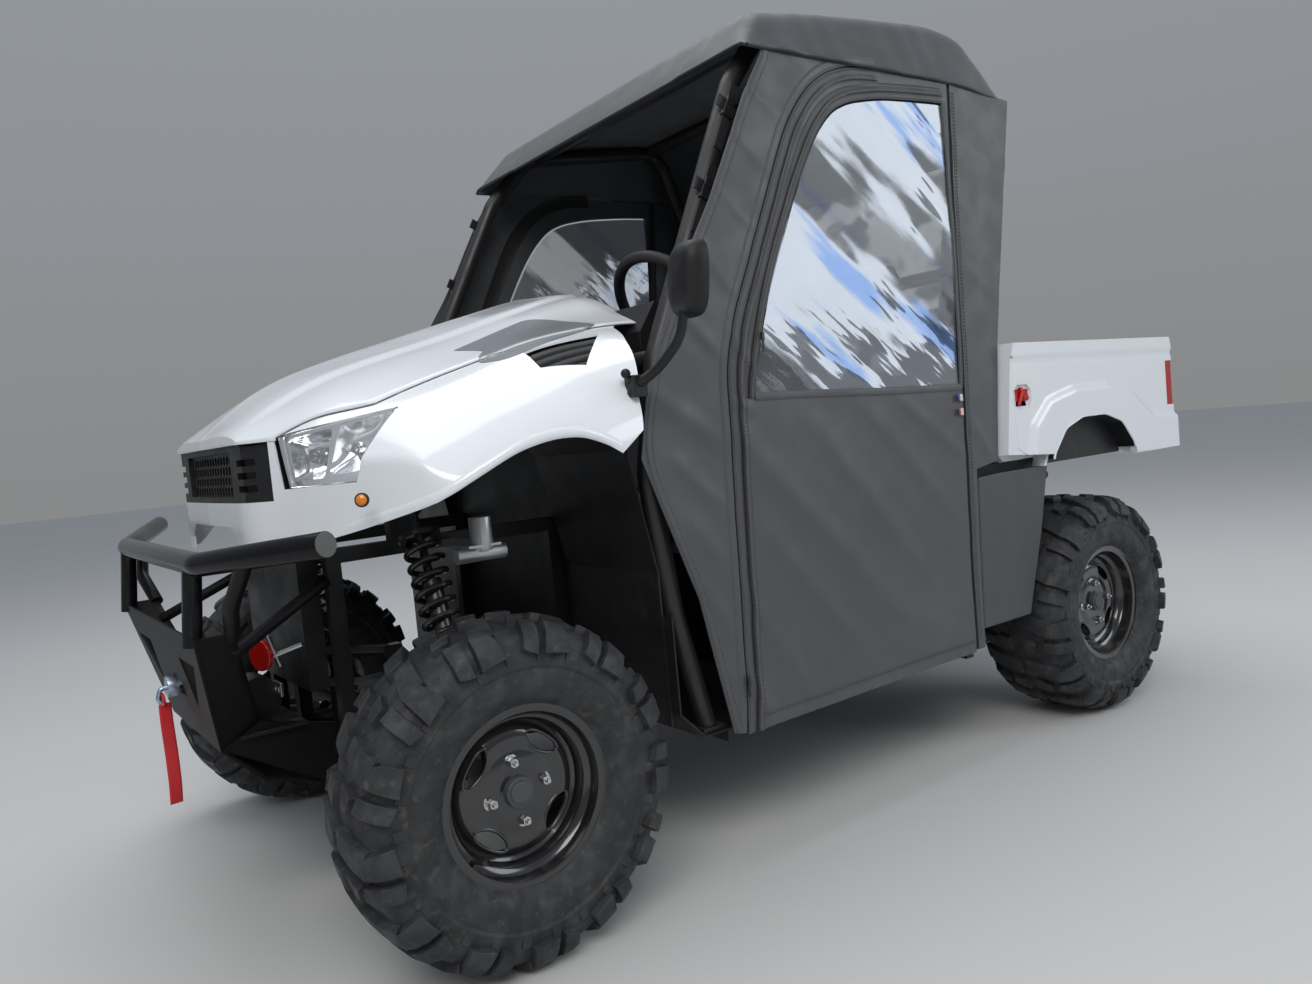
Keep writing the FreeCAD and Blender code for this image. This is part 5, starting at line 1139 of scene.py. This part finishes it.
CHAMBERS = [
    # inner end, outer end, foot, top as shares of the face, depth, how square the bowl is
    (0.07, 0.50, 0.12, 0.90, 42, 6.0),
    (0.55, 0.95, 0.14, 0.92, 34, 2.6)]
BULBS = [
    # place on the face, radius
    (0.285, 0.52, 17), (0.72, 0.50, 12)]
MARKER, MARKER_OUT = (1170, 592, 866), (0.62, 0.78, 0)
# Painted reflection: a darker copy of the chrome, for the dark reflections on the bulbs.
chrome_painted_dark_reflection = worn_metal("chrome_painted_dark_reflection", (0.30, 0.31, 0.33), 0.10, 1.0, 0.0)


def lamp_face(u, v):
    """A place on the lamp's face: u from its inner end to its outer end, v from its foot to its top."""
    inner = Vector(LAMP[1]).lerp(Vector(LAMP[0]), v)
    outer = Vector(LAMP[2]).lerp(Vector(LAMP[3]), v)
    return inner.lerp(outer, u) + LAMP_OUT * (16 * math.sin(math.pi * min(max(u, 0), 1)) * (0.35 + 0.65 * v))


def lamp_bowl(u, v):
    """A place in the bowl behind the face, deeper in its two chambers."""
    depth = 9.0
    for u0, u1, v0, v1, deep, square in CHAMBERS:
        s, t = (u - u0) / (u1 - u0) * 2 - 1, (v - v0) / (v1 - v0) * 2 - 1
        if abs(s) < 1 and abs(t) < 1:
            depth += deep * (1 - abs(s) ** square) * (1 - abs(t) ** square)
    return (lamp_face(u, v) - LAMP_OUT * depth) / 1000


def lamp_bezel(u, v):
    """A narrow sloped band round the lamp's face."""
    corners = [(0, 0), (1, 0), (1, 1), (0, 1), (0, 0)]
    place = along([Vector((a, b, 0)) for a, b in corners], u)
    spot = place + (Vector((0.5, 0.5, 0)) - place) * (0.085 * v)
    return (lamp_face(spot.x, spot.y) - LAMP_OUT * (1.0 + 13 * v * v)) / 1000


def lamps():
    lens, bowl, bulbs, ring = bmesh.new(), bmesh.new(), bmesh.new(), bmesh.new()
    add_sheet(lens, 24, 18, lambda u, v: lamp_face(mix(0.01, 0.99, u), mix(0.01, 0.99, v)) / 1000)
    add_sheet(bowl, 56, 36, lamp_bowl)
    add_sheet(ring, 90, 3, lamp_bezel)
    for u, v, radius in BULBS:
        seat = lamp_face(u, v)
        for foot, top, wide, narrow in ((44, 24, 1, 0.8), (24, 18, 0.55, 0.4)):
            add_rod(bulbs, (seat - LAMP_OUT * foot) / 1000, (seat - LAMP_OUT * top) / 1000,
                    radius * wide / 1000, 24, radius * narrow / 1000)
    for bm in (lens, bowl, bulbs, ring):
        mirrored(bm)
    lenses = walled(from_bmesh("lamp_lenses", lens), 0.0025)
    wear(lenses, lamp_clear, "chassis", ["headlamps"], smooth_angle=50)
    wear(walled(from_bmesh("lamp_bowls", bowl), 0.002), chrome, "chassis", smooth_angle=28)
    # The bulbs wear the darker copy of the chrome, a painted dark reflection.
    wear(from_bmesh("lamp_bulbs", bulbs), chrome_painted_dark_reflection, "chassis", bevel=0.0012)
    wear(from_bmesh("lamp_bezels", ring), chrome, "chassis", smooth_angle=30)


def dome(name, middle, out, radius, height, back=6):
    """A round lens: a short drum with a domed face."""
    bm = bmesh.new()
    turn = out.normalized().to_track_quat("Z", "Y").to_matrix()
    for vert in bmesh.ops.create_uvsphere(bm, u_segments=28, v_segments=14, radius=1.0)["verts"]:
        x, y, z = vert.co
        vert.co = (turn @ Vector((x * radius, y * radius, z * height if z > 0 else z * back)) + middle) / 1000
    return from_bmesh(name, bm)


lamps()
for label, side in SIDES:
    out = Vector((MARKER_OUT[0], MARKER_OUT[1] * side, MARKER_OUT[2]))
    middle = Vector((MARKER[0], MARKER[1] * side, MARKER[2]))
    wear(dome("marker_lens_" + label, middle, out, 10, 6), amber_lens, "chassis")
    bm = bmesh.new()
    add_rod(bm, (middle - out * 6) / 1000, (middle + out * 0.8) / 1000, 0.0125, 28)
    wear(from_bmesh("marker_seat_" + label, bm), black_plastic, "chassis", bevel=0.001)


# The silver sweep between hood and vent, the rolled lip of the wheel arch, vent blades and grille backing

SWEEP = [
    # along, across
    (864, 372), (770, 344), (659, 319), (630, 370), (619, 414), (591, 506), (700, 538), (800, 556),
    (846, 552), (884, 516), (868, 486), (842, 462), (846, 420)]
SWEEP_REACH = (0.580, 0.895, 0.310, 0.562)
silver_film = moulded("silver_film", (0.15, 0.165, 0.185), 0.32, 900, Coat_Weight=0.2)
plan_table = [(point.x, point.y) for point in plan_line]


def sweeps():
    """A film laid on the finished skin, found by rays from above."""
    bm = bmesh.new()
    graph = bpy.context.evaluated_depsgraph_get()
    tops = [BVHTree.FromObject(bpy.data.objects[name], graph) for name in ("hood_skin", "fenders_skin")]
    low_x, high_x, low_y, high_y = SWEEP_REACH

    def place(u, v):
        x, y = mix(low_x, high_x, u), mix(low_y, high_y, v)
        hits = [tree.ray_cast(Vector((x, y, 1.5)), -UP)[0] for tree in tops]
        heights = [hit.z for hit in hits if hit and hit.z > 0.9]
        return Vector((x, y, (max(heights) if heights else skin(x * 1000, y * 1000) / 1000) + 0.0008))

    add_sheet(bm, 50, 40, place)
    mirrored(bm)
    obj = walled(from_bmesh("silver_sweeps", bm), 0.0006, 0)
    rounded = bent([(x, y, 0) for x, y in SWEEP + SWEEP[:1]], 26, 4)[:-1]
    outline = [(point.x, point.y, 0) for point in rounded]
    cut(obj, keep=prism_cutter("sweep_outline", outline, UP, 1000, 1400))
    wear(obj, silver_film, "chassis", smooth_angle=60)


def arch_lip():
    line = bent(upright(ARCH_LINE), 60, 4)
    bm = bmesh.new()

    def place(u, v):
        here = along(line, u)
        bulge = 4.6 * math.sin(math.pi * v) ** 0.7
        fade = smooth(0.0, 0.12, u) * (1 - smooth(0.88, 1.0, u) * 0.6)
        return mm(here.x, from_table(plan_table, here.x) - 0.6 + bulge * fade, here.z - 1.0 + 20 * v)

    add_sheet(bm, 90, 8, place)
    mirrored(bm)
    wear(from_bmesh("arch_lips", bm), white_plastic, "chassis", smooth_angle=60)


def below_skin(x, y, drop):
    return mm(x, y, skin(x, y) - drop)


def vent_blades():
    """Four slanted blades in each fender vent, over a dark duct."""
    duct, blades = bmesh.new(), bmesh.new()
    add_sheet(duct, 12, 8, lambda u, v: below_skin(mix(612, 818, u), mix(548, 652, v), 26))
    mirrored(duct)
    wear(from_bmesh("vent_duct", duct), liner_black, "chassis", ["fender_vents"],
         smooth_angle=60)
    for index in range(4):
        y = 566 + index * 21
        add_sheet(blades, 24, 2, lambda u, v: below_skin(mix(630, 806, u), y + v * 12, 7 + 12 * v))
    mirrored(blades)
    wear(walled(from_bmesh("vent_blades", blades), 0.002, 0), black_plastic, "chassis", smooth_angle=60)


def grille_backing():
    bm = bmesh.new()
    add_sheet(bm, 40, 8, lambda u, v: mm(1234 - 46 * mix(-1, 1, u) ** 2, mix(-328, 328, u), mix(876, 988, v)))
    wear(from_bmesh("grille_backing", bm), liner_black, "chassis", smooth_angle=60)


sweeps()
arch_lip()
vent_blades()
grille_backing()


# Mirrors: a rounded shell, glass to the rear, on a bent arm with a foot on the cowl

MIRROR = (590, 833, 1208)
MIRROR_HALF_WIDTH, MIRROR_HALF_HEIGHT, MIRROR_DEPTH = 43, 69, 46
ARM = ((614, 824, 1165), (616, 812, 1105), (634, 755, 1052), (656, 722, 1030))
BRACKET_RODS = [
    # along at one end and at the other, across, up, radius: two screws through the foot
    (0.6365, 0.674, 0.708, 1.014, 0.006), (0.6365, 0.674, 0.708, 1.036, 0.006)]


def mirror_ring(turn, depth):
    """A point of the shell: turn about its line along X, depth from the glass to the front."""
    c, s = math.cos(turn), math.sin(turn)
    radius = (abs(c) ** 3.4 + abs(s) ** 3.4) ** (-1 / 3.4)
    shrink = (1 - (depth * 0.96) ** 3.0) ** (1 / 2.4) if depth < 1 else 0.12
    y, z = MIRROR_HALF_WIDTH * radius * c * shrink, MIRROR_HALF_HEIGHT * radius * s * shrink
    return mm(MIRROR[0] + MIRROR_DEPTH * depth, MIRROR[1] + y + z * 0.13, MIRROR[2] + z)


def glass_point(u, v):
    """A point of the glass: rings drawn in from the shell's edge to its middle."""
    edge, middle = mirror_ring(u * math.tau, 0), mm(*MIRROR)
    spot = edge.lerp(middle, 0.09 + 0.9 * v)
    return Vector((middle.x - 0.0008, spot.y, spot.z))


for label, side in SIDES:
    shell = bmesh.new()
    add_sheet(shell, 64, 14, lambda u, v: mirror_ring(u * math.tau, v))
    bmesh.ops.remove_doubles(shell, verts=shell.verts, dist=0.00005)
    bmesh.ops.holes_fill(shell, edges=[edge for edge in shell.edges if edge.is_boundary], sides=0)
    glass = bmesh.new()
    add_sheet(glass, 64, 2, glass_point)
    bmesh.ops.remove_doubles(glass, verts=glass.verts, dist=0.0001)
    bracket = bmesh.new()
    add_block(bracket, (0.640, 0.694, 1.004), (0.672, 0.726, 1.046))
    for start, stop, y, z, radius in BRACKET_RODS:
        add_rod(bracket, (start, y, z), (stop, y, z), radius, 16)
    add_rod(bracket, (0.612, 0.822, 1.150), (0.612, 0.822, 1.186), 0.014, 24)
    for bm in (shell, glass, bracket):
        for vert in bm.verts:
            vert.co.y *= side
    wear(from_bmesh("mirror_shell_" + label, shell), black_plastic, "chassis",
         ["mirrors"] if side > 0 else [], smooth_angle=40)
    wear(from_bmesh("mirror_glass_" + label, glass), mirror_glass, "chassis", smooth_angle=60)
    wear(from_bmesh("mirror_bracket_" + label, bracket), frame_black, "chassis", bevel=0.002)
    line = bent([mm(x, y * side, z) for x, y, z in ARM], 0.03, 6)
    wear(add_tube("mirror_arm_" + label, line, 0.0095, rings=4), frame_black, "chassis")


# Bits round the bumper: tube caps, strap on the hook, reflector, steel rods and bracket

cap_grey = moulded("cap_grey", (0.10, 0.10, 0.10), 0.6, 900)
strap_red = cloth_look("strap_red", (0.55, 0.015, 0.02), 0.5, 1200.0)
TUBE_BEND, TUBE_END = (1398, 384, 778), (1272, 697, 808)
STRAP_LINE = [(1419, 0, 470), (1420, 3, 430), (1417, -4, 360), (1418, 2, 300), (1420, 0, 258)]
STRAP_WIDTH = 25
RODS = [
    # name, one end, other end
    ("pull_rod", (1236, 212, 540), (1262, 240, 610)), ("release_rod", (1200, 250, 580), (1255, 215, 560))]


def bumper_caps():
    bm = bmesh.new()
    for label, side in SIDES:
        before, end = (Vector((x, y * side, z)) for x, y, z in (TUBE_BEND, TUBE_END))
        way = (end - before).normalized()
        add_rod(bm, (end - way * 1) / 1000, (end + way * 1.6) / 1000, 0.0205, 40)
    wear(from_bmesh("bumper_caps", bm), cap_grey, "chassis", bevel=0.0006)


def strap():
    """The red pull strap: a flat band that hangs from the hook."""
    line = bent(STRAP_LINE, 40, 6)
    bm = bmesh.new()

    def place(u, v):
        here = along(line, u)
        twist = 1.35 + 0.3 * math.sin(u * 3.0)
        across = (v - 0.5) * STRAP_WIDTH
        return mm(here.x + across * math.sin(twist), here.y + across * math.cos(twist), here.z)

    add_sheet(bm, 40, 6, place)
    wear(walled(from_bmesh("red_strap", bm), 0.0022, 0), strap_red, "chassis", smooth_angle=60)
    turns = [step * math.tau / 24 for step in range(25)]
    loop = [mm(1421, 11 * math.cos(turn), 478 + 11 * math.sin(turn)) for turn in turns]
    wear(add_tube("strap_loop", loop, 0.003, rings=3), strap_red, "chassis")


def two_hole_plate():
    plate, holes = bmesh.new(), bmesh.new()
    add_block(plate, (1.236, 0.165, 0.476), (1.242, 0.215, 0.504))
    for y in (0.178, 0.202):
        add_rod(holes, (1.22, y, 0.490), (1.26, y, 0.490), 0.0072, 24)
    obj = from_bmesh("two_hole_plate", plate)
    cut(obj, from_bmesh("plate_holes", holes))
    wear(obj, bright_steel, "chassis", bevel=0.001)


bumper_caps()
strap()
bm = bmesh.new()
add_rod(bm, mm(1262, 196, 565), mm(1272, 200, 565), 0.032, 40)
wear(from_bmesh("red_reflector", bm), red_lens, "chassis", bevel=0.002)
for name, start, stop in RODS:
    wear(add_tube(name, [mm(*start), mm(*stop)], 0.005, rings=3), bright_steel, "chassis")
two_hole_plate()


# Black buckles and webbing on the front pillars

buckle_black = moulded("buckle_black", (0.012, 0.012, 0.013), 0.35, 900)
BUCKLE_HEIGHTS = (1626, 1439)
PILLAR_FOOT, PILLAR_RUN, PILLAR_RISE = (535, 615, 1085), (-305, -37), 605
PILLAR_LEAN_BACK, PILLAR_LEAN_IN = math.radians(-26.8), math.radians(3.5)
BUCKLE_BLOCKS = [
    # low and high corner from the buckle's middle: tongue, body, bar
    ((0.008, -0.0015, -0.014), (0.036, 0.0015, 0.016)), ((-0.015, -0.006, -0.024), (0.015, 0.006, 0.004)),
    ((-0.012, -0.0045, 0.006), (0.012, 0.0045, 0.026))]
WEBBING = ((-0.011, -0.0025, -0.105), (0.011, 0.0005, 0.060))
for label, side in SIDES:
    buckles, webs = bmesh.new(), bmesh.new()
    turn = Matrix.Rotation(PILLAR_LEAN_IN * side, 3, "X") @ Matrix.Rotation(PILLAR_LEAN_BACK, 3, "Y")
    for z in BUCKLE_HEIGHTS:
        up = (z - PILLAR_FOOT[2]) / PILLAR_RISE
        middle = mm(PILLAR_FOOT[0] + PILLAR_RUN[0] * up, (PILLAR_FOOT[1] + PILLAR_RUN[1] * up + 25) * side, z)
        for low, high in BUCKLE_BLOCKS:
            add_block(buckles, middle + Vector(low), middle + Vector(high), turn, middle)
        add_block(webs, middle + Vector(WEBBING[0]), middle + Vector(WEBBING[1]), turn, middle)
    wear(from_bmesh("pillar_buckles_" + label, buckles), buckle_black, "chassis", bevel=0.002)
    wear(from_bmesh("pillar_webbing_" + label, webs), webbing_black, "chassis", bevel=0.0006)


# The cargo bed's outer sides: rail, flare round the wheel arch, lip and dark liner

BED_REAR, BED_FRONT, BED_FOOT, BED_TOP = -1437, -576, 733, 1082
BED_SIDE = [(-1435, 735), (-1240, 735), (-622, 778), (-578, 800), (-578, 1080), (-1417, 1080), (-1435, 1010)]
BED_FLARE = [
    (-1435, 735), (-1150, 735), (-1150, 740), (-750, 740), (-750, 772), (-642, 780), (-660, 850), (-735, 912),
    (-860, 938), (-1040, 938), (-1180, 906), (-1280, 842), (-1435, 828)]
BED_ARCH = [
    (-718, 700), (-735, 770), (-800, 838), (-890, 865), (-1010, 865), (-1100, 838), (-1165, 770),
    (-1182, 700)]
TAIL_LAMP = [(-1440, 867), (-1394, 867), (-1394, 1007), (-1440, 1007)]
BED_FACE = 703.8
ARCH_MIDDLE, ARCH_FOOT = -950, 738
LATCH = Vector((-615, 0, 938))
POCKET = [(-40, -22), (-26, -34), (26, -34), (38, -22), (38, 16), (22, 30), (-24, 30), (-40, 14)]
SLOT = [(-24, -27), (25, -27), (12, 20), (-3, 24)]
LEVER = [
    # along and up from the latch, distance out
    (20, -24, 706), (16, -8, 709), (10, 8, 710), (8, 22, 708)]


def outside_of(outline, x, z):
    """Distance outside a closed outline, negative inside it."""
    here = Vector((x, z))
    inside, nearest = False, 1e9
    for (ax, az), (bx, bz) in zip(outline, outline[1:] + outline[:1]):
        a, b = Vector((ax, az)), Vector((bx, bz))
        run = b - a
        share = min(max((here - a).dot(run) / run.length_squared, 0), 1) if run.length else 0
        nearest = min(nearest, (here - a - run * share).length)
        if (az > z) != (bz > z) and x < (bx - ax) * (z - az) / (bz - az) + ax:
            inside = not inside
    return -nearest if inside else nearest


def bed_face(x, z):
    flare = 12 * (1 - smooth(0, 17, outside_of(BED_FLARE, x, z)))
    rail = 6 * smooth(1036, 1044, z)
    groove = -1.6 * math.exp(-((z - 1024) / 3.0) ** 2)
    return BED_FACE + max(flare, rail) + (groove if flare < 1 else 0)


def flat_cutter(name, outline):
    return prism_cutter(name, [(x, 0, z) for x, z in outline], ACROSS, 600, 800)


def bed_panel(u, v):
    x, z = mix(BED_REAR, BED_FRONT, u), mix(BED_FOOT, BED_TOP, v)
    return mm(x, bed_face(x, z), z)


def bed_sides():
    bm = bmesh.new()
    add_sheet(bm, 120, 56, bed_panel)
    mirrored(bm)
    obj = walled(from_bmesh("bed_sides", bm), 0.002, 0)
    pocket = [(LATCH.x + x, LATCH.z + z) for x, z in POCKET]
    cut(obj, flat_cutter("arch_hole", BED_ARCH), flat_cutter("latch_hole", pocket),
        flat_cutter("lamp_hole", TAIL_LAMP), keep=flat_cutter("bed_outline", BED_SIDE))
    wear(obj, white_plastic, "cargo_bed", smooth_angle=50)


def bed_arches():
    """Liner, inner wall and rolled lip of the arch over each rear wheel."""
    arch = bent(upright(BED_ARCH), 14, 3)
    above_foot = [point for point in arch if point.z > ARCH_FOOT]
    liner, hollow = bmesh.new(), bmesh.new()

    def under(u, v):
        here = along(above_foot, u)
        inward = (Vector((ARCH_MIDDLE, 0, 690)) - here).normalized()
        return mm(here.x + inward.x * 2.5, mix(659.5, 712, v), here.z + inward.z * 2.5)

    def inner(u, v):
        here = along(arch, u)
        return mm(mix(ARCH_MIDDLE, here.x, v), 660.5, mix(742, max(here.z, 742), v))

    add_sheet(liner, 60, 4, under)
    mirrored(liner)
    wear(from_bmesh("bed_arch_liners", liner), liner_black, "cargo_bed", smooth_angle=50)
    add_sheet(hollow, 60, 12, inner)
    mirrored(hollow)
    wear(from_bmesh("bed_arch_walls", hollow), liner_black, "cargo_bed", smooth_angle=50)
    for label, side in SIDES:
        lip = [mm(point.x, 714 * side, point.z) for point in above_foot]
        wear(add_tube("bed_arch_lip_" + label, lip, 0.0032, rings=4), white_plastic, "cargo_bed")
        bed_latch(label, side)


def bed_latch(label, side):
    """The dark slot in the latch's pocket and its red lever."""
    bm = bmesh.new()
    face = bm.faces.new([bm.verts.new(mm(LATCH.x + x, 698.8 * side, LATCH.z + z)) for x, z in SLOT])
    bmesh.ops.solidify(bm, geom=[face], thickness=0.0012)
    wear(from_bmesh("latch_slot_" + label, bm), liner_black, "cargo_bed")
    lever = [mm(LATCH.x + x, y * side, LATCH.z + z) for x, z, y in LEVER]
    wear(add_tube("latch_lever_" + label, lever, 0.0042, rings=5), red_paint, "cargo_bed")


bed_sides()
bed_arches()
bm = bmesh.new()
for label, side in SIDES:
    add_block(bm, (-0.745, side * 0.638 - 0.002, 0.690), (-0.372, side * 0.638 + 0.002, 0.762))
wear(from_bmesh("rear_side_liners", bm), liner_black, "chassis", bevel=0.001)


def soften(nodes, width):
    """CAD pieces that stay in view get rounded edges."""
    for name in nodes:
        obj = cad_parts[name]
        weld = obj.modifiers.new("joined", "WELD")
        weld.merge_threshold = 0.00002
        edge = obj.modifiers.new("edges", "BEVEL")
        edge.width = width
        edge.segments = 2
        edge.limit_method = "ANGLE"
        edge.angle_limit = math.radians(38)
        edge.harden_normals = True


soften(("cargo_bed", "tailgate", "dash", "seat_base", "bumper", "hitch", "radiator",
        "brake_cylinder"), 0.0018)
soften(("quarter_panels",), 0.005)
soften(("frame", "winch", "winch_hook", "engine", "gearboxes", "knuckle_left", "knuckle_right",
        "rear_carriers", "front_arms", "rear_arms", "grille", "muffler"), 0.0012)


# Seats: filled with air in the cloth solver, then sewn

SEAT_MIDDLE, SIDE_SEAM, SEAT_FOOT = 0.310, 0.172, 0.6006
CUSHION_SEAMS, CUSHION_TOP, BACK_SEAMS = (0.055, -0.060), 0.72, (0.90, 1.03, 1.16)


def swollen(obj, pressure, cap):
    """Lets the cover of a cushion swell, no point further than the cap."""
    rest = [vert.co.copy() for vert in obj.data.vertices]
    cloth = obj.modifiers.new("cover", "CLOTH")
    cloth.settings.use_pressure = True
    cloth.settings.uniform_pressure_force = pressure
    cloth.settings.quality = 4
    cloth.settings.mass = 0.3
    cloth.settings.tension_stiffness = 12
    cloth.settings.compression_stiffness = 12
    cloth.settings.bending_stiffness = 0.4
    cloth.settings.effector_weights.gravity = 0
    cloth.point_cache.frame_end = 20
    for step in range(1, 21):
        bpy.context.scene.frame_set(step)
    finish_mesh(obj)
    for vert, start in zip(obj.data.vertices, rest):
        moved = vert.co - start
        if moved.length > cap:
            vert.co = start + moved.normalized() * cap
    bpy.context.scene.frame_set(1)


def sew(obj):
    """Draws in the side seams and the sewn channels of cushion and back, and keeps the foot flat."""
    for vert in obj.data.vertices:
        across, x, z = abs(vert.co.y - SEAT_MIDDLE), vert.co.x, vert.co.z
        depth = 0.007 * math.exp(-((across - SIDE_SEAM) / 0.005) ** 2)
        if across < SIDE_SEAM:
            place, seams = (x, CUSHION_SEAMS) if z < CUSHION_TOP else (z, BACK_SEAMS)
            nearest = min(abs(place - seam) for seam in seams)
            depth = max(depth, 0.006 * math.exp(-(nearest / 0.0055) ** 2))
        vert.co -= vert.normal * depth
        vert.co.z = max(vert.co.z, SEAT_FOOT)


def other_side(obj, name):
    """A mirrored copy of a piece, across the middle plane."""
    copy = obj.copy()
    copy.data = obj.data.copy()
    copy.name = name
    bpy.context.scene.collection.objects.link(copy)
    bm = bmesh.new()
    bm.from_mesh(copy.data)
    for vert in bm.verts:
        vert.co.y = -vert.co.y
    bmesh.ops.reverse_faces(bm, faces=bm.faces)
    bm.to_mesh(copy.data)
    bm.free()
    return copy


def seats():
    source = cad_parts["seat_left"]
    bm = bmesh.new()
    bm.from_mesh(source.data)
    bm.transform(source.matrix_world)
    bmesh.ops.remove_doubles(bm, verts=bm.verts, dist=0.00005)
    obj = from_bmesh("seat_cover_left", bm)
    cells = obj.modifiers.new("cells", "REMESH")
    cells.mode = "VOXEL"
    cells.voxel_size = 0.0125
    ease = obj.modifiers.new("ease", "SMOOTH")
    ease.factor = 0.5
    ease.iterations = 8
    finish_mesh(obj)
    for vert in obj.data.vertices:
        vert.co -= vert.normal * 0.006
    swollen(obj, 4.0, 0.024)
    sew(obj)
    for piece, node in ((obj, "seat_left"), (other_side(obj, "seat_cover_right"), "seat_right")):
        wear(piece, seat_vinyl, "chassis", [node], subdivide=1, smooth_angle=180)


seats()


# Small trim on the cab's side: bare tags at the rear seam, zip pulls, a ball-ended lever at the cowl

tag_white = cloth_look("tag_white", (0.62, 0.62, 0.62), 0.6, 2000.0)
tag_blue = cloth_look("tag_blue", (0.03, 0.08, 0.30), 0.6, 2000.0)
tag_red = cloth_look("tag_red", (0.45, 0.02, 0.03), 0.6, 2000.0)
TAGS = [
    # along, up, colour of the free end
    (-384, 948, tag_blue), (-382, 912, tag_red)]
ZIP_PULLS = [(432, 400), (287, 1120)]
PULL_BLOCKS = [
    # low and high corner from the pull's middle: slider, tab
    ((-0.004, -0.0028, -0.011), (0.004, 0.0028, 0.007)),
    ((-0.0028, -0.0012, -0.036), (0.0028, 0.0012, -0.010))]
COWL_LEVER = [(632, 700, 1010), (652, 708, 1028), (676, 712, 1046)]
LEVER_BALL = (680, 713, 1050)


def tag_piece(name, x, z, low, high, lift, material, body, side):
    """A flat sewn tab that stands out a little at its free end."""
    bm = bmesh.new()
    add_sheet(bm, 10, 5, lambda u, v: cab_point(x + mix(low, high, u), z - 9 + 18 * v, lift + 2.4 * u, side))
    wear(walled(from_bmesh(name, bm), 0.0012, 0), material, body, smooth_angle=60)


for label, side in SIDES:
    door = "door_" + label
    for index, (x, z, colour) in enumerate(TAGS, 1):
        tag_piece(f"tag_white_{index}_{label}", x, z, -4, 10, 5.0, tag_white, door, side)
        tag_piece(f"tag_colour_{index}_{label}", x, z, 10, 20, 7.2, colour, door, side)
    bm = bmesh.new()
    for x, z in ZIP_PULLS:
        middle = cab_point(x, z, 7, side)
        for low, high in PULL_BLOCKS:
            add_block(bm, middle + Vector(low), middle + Vector(high))
    wear(from_bmesh("zip_pulls_" + label, bm), zip_teeth, door, bevel=0.0008)
    lever = bent([mm(x, y * side, z) for x, y, z in COWL_LEVER], 0.02, 5)
    wear(add_tube("cowl_lever_" + label, lever, 0.0045, rings=4), frame_black, "chassis")
    bm = bmesh.new()
    middle = mm(LEVER_BALL[0], LEVER_BALL[1] * side, LEVER_BALL[2])
    bmesh.ops.create_uvsphere(bm, u_segments=20, v_segments=12, radius=0.0095,
                              matrix=Matrix.Translation(middle))
    wear(from_bmesh("lever_ball_" + label, bm), black_plastic, "chassis", smooth_angle=80)


# Plain pale floor, soft light

def floor():
    bm = bmesh.new()
    bmesh.ops.create_grid(bm, x_segments=2, y_segments=2, size=30.0)
    obj = from_bmesh("floor", bm)
    look = Look("floor_paint", (0.62, 0.62, 0.61), 0.75)
    look.tint(look.noise(0.8, 3).step(0.35, 0.7) * 0.25, (0.58, 0.58, 0.58))
    obj.data.materials.append(look.material)


def sky():
    """A pale sky, a little bluer overhead."""
    world = bpy.data.worlds.new("sky")
    world.use_nodes = True
    bpy.context.scene.world = world
    nodes = Nodes(world.node_tree)
    height = nodes.node("SeparateXYZ", {}, {0: nodes.node("TexCoord", {}, {}, "Generated")}, "Z")
    stops = [(0.0, (0.62, 0.63, 0.64, 1)), (0.7, (0.80, 0.88, 1.0, 1))]
    shade = nodes.node("ValToRGB", {"stops": stops}, {0: height})
    nodes.fill(world.node_tree.nodes["Background"], {"Color": shade, "Strength": 0.4})


LAMPS = [
    # name, place, aim, size, watts, colour
    ("key", (3.6, 4.6, 5.2), (0.2, 0.2, 0.8), (4.5, 3.0), 228, (1.0, 0.98, 0.95)),
    ("side", (-4.5, 5.0, 3.2), (-0.4, 0.3, 1.0), (3.5, 3.0), 96, (0.92, 0.96, 1.0)),
    ("over", (0.3, -1.0, 6.0), (0.0, 0.0, 1.0), (5.0, 4.0), 138, (1, 1, 1))]


def light(name, place, aim, size, watts, colour):
    data = bpy.data.lights.new(name, "AREA")
    data.shape = "RECTANGLE"
    data.size, data.size_y = size
    data.energy = watts
    data.color = colour
    obj = bpy.data.objects.new(name, data)
    turn = (Vector(aim) - Vector(place)).to_track_quat("-Z", "Y").to_matrix().to_4x4()
    obj.matrix_world = Matrix.Translation(place) @ turn
    bpy.context.scene.collection.objects.link(obj)


floor()
sky()
for row in LAMPS:
    light(*row)
bpy.context.scene.view_settings.view_transform = "Standard"
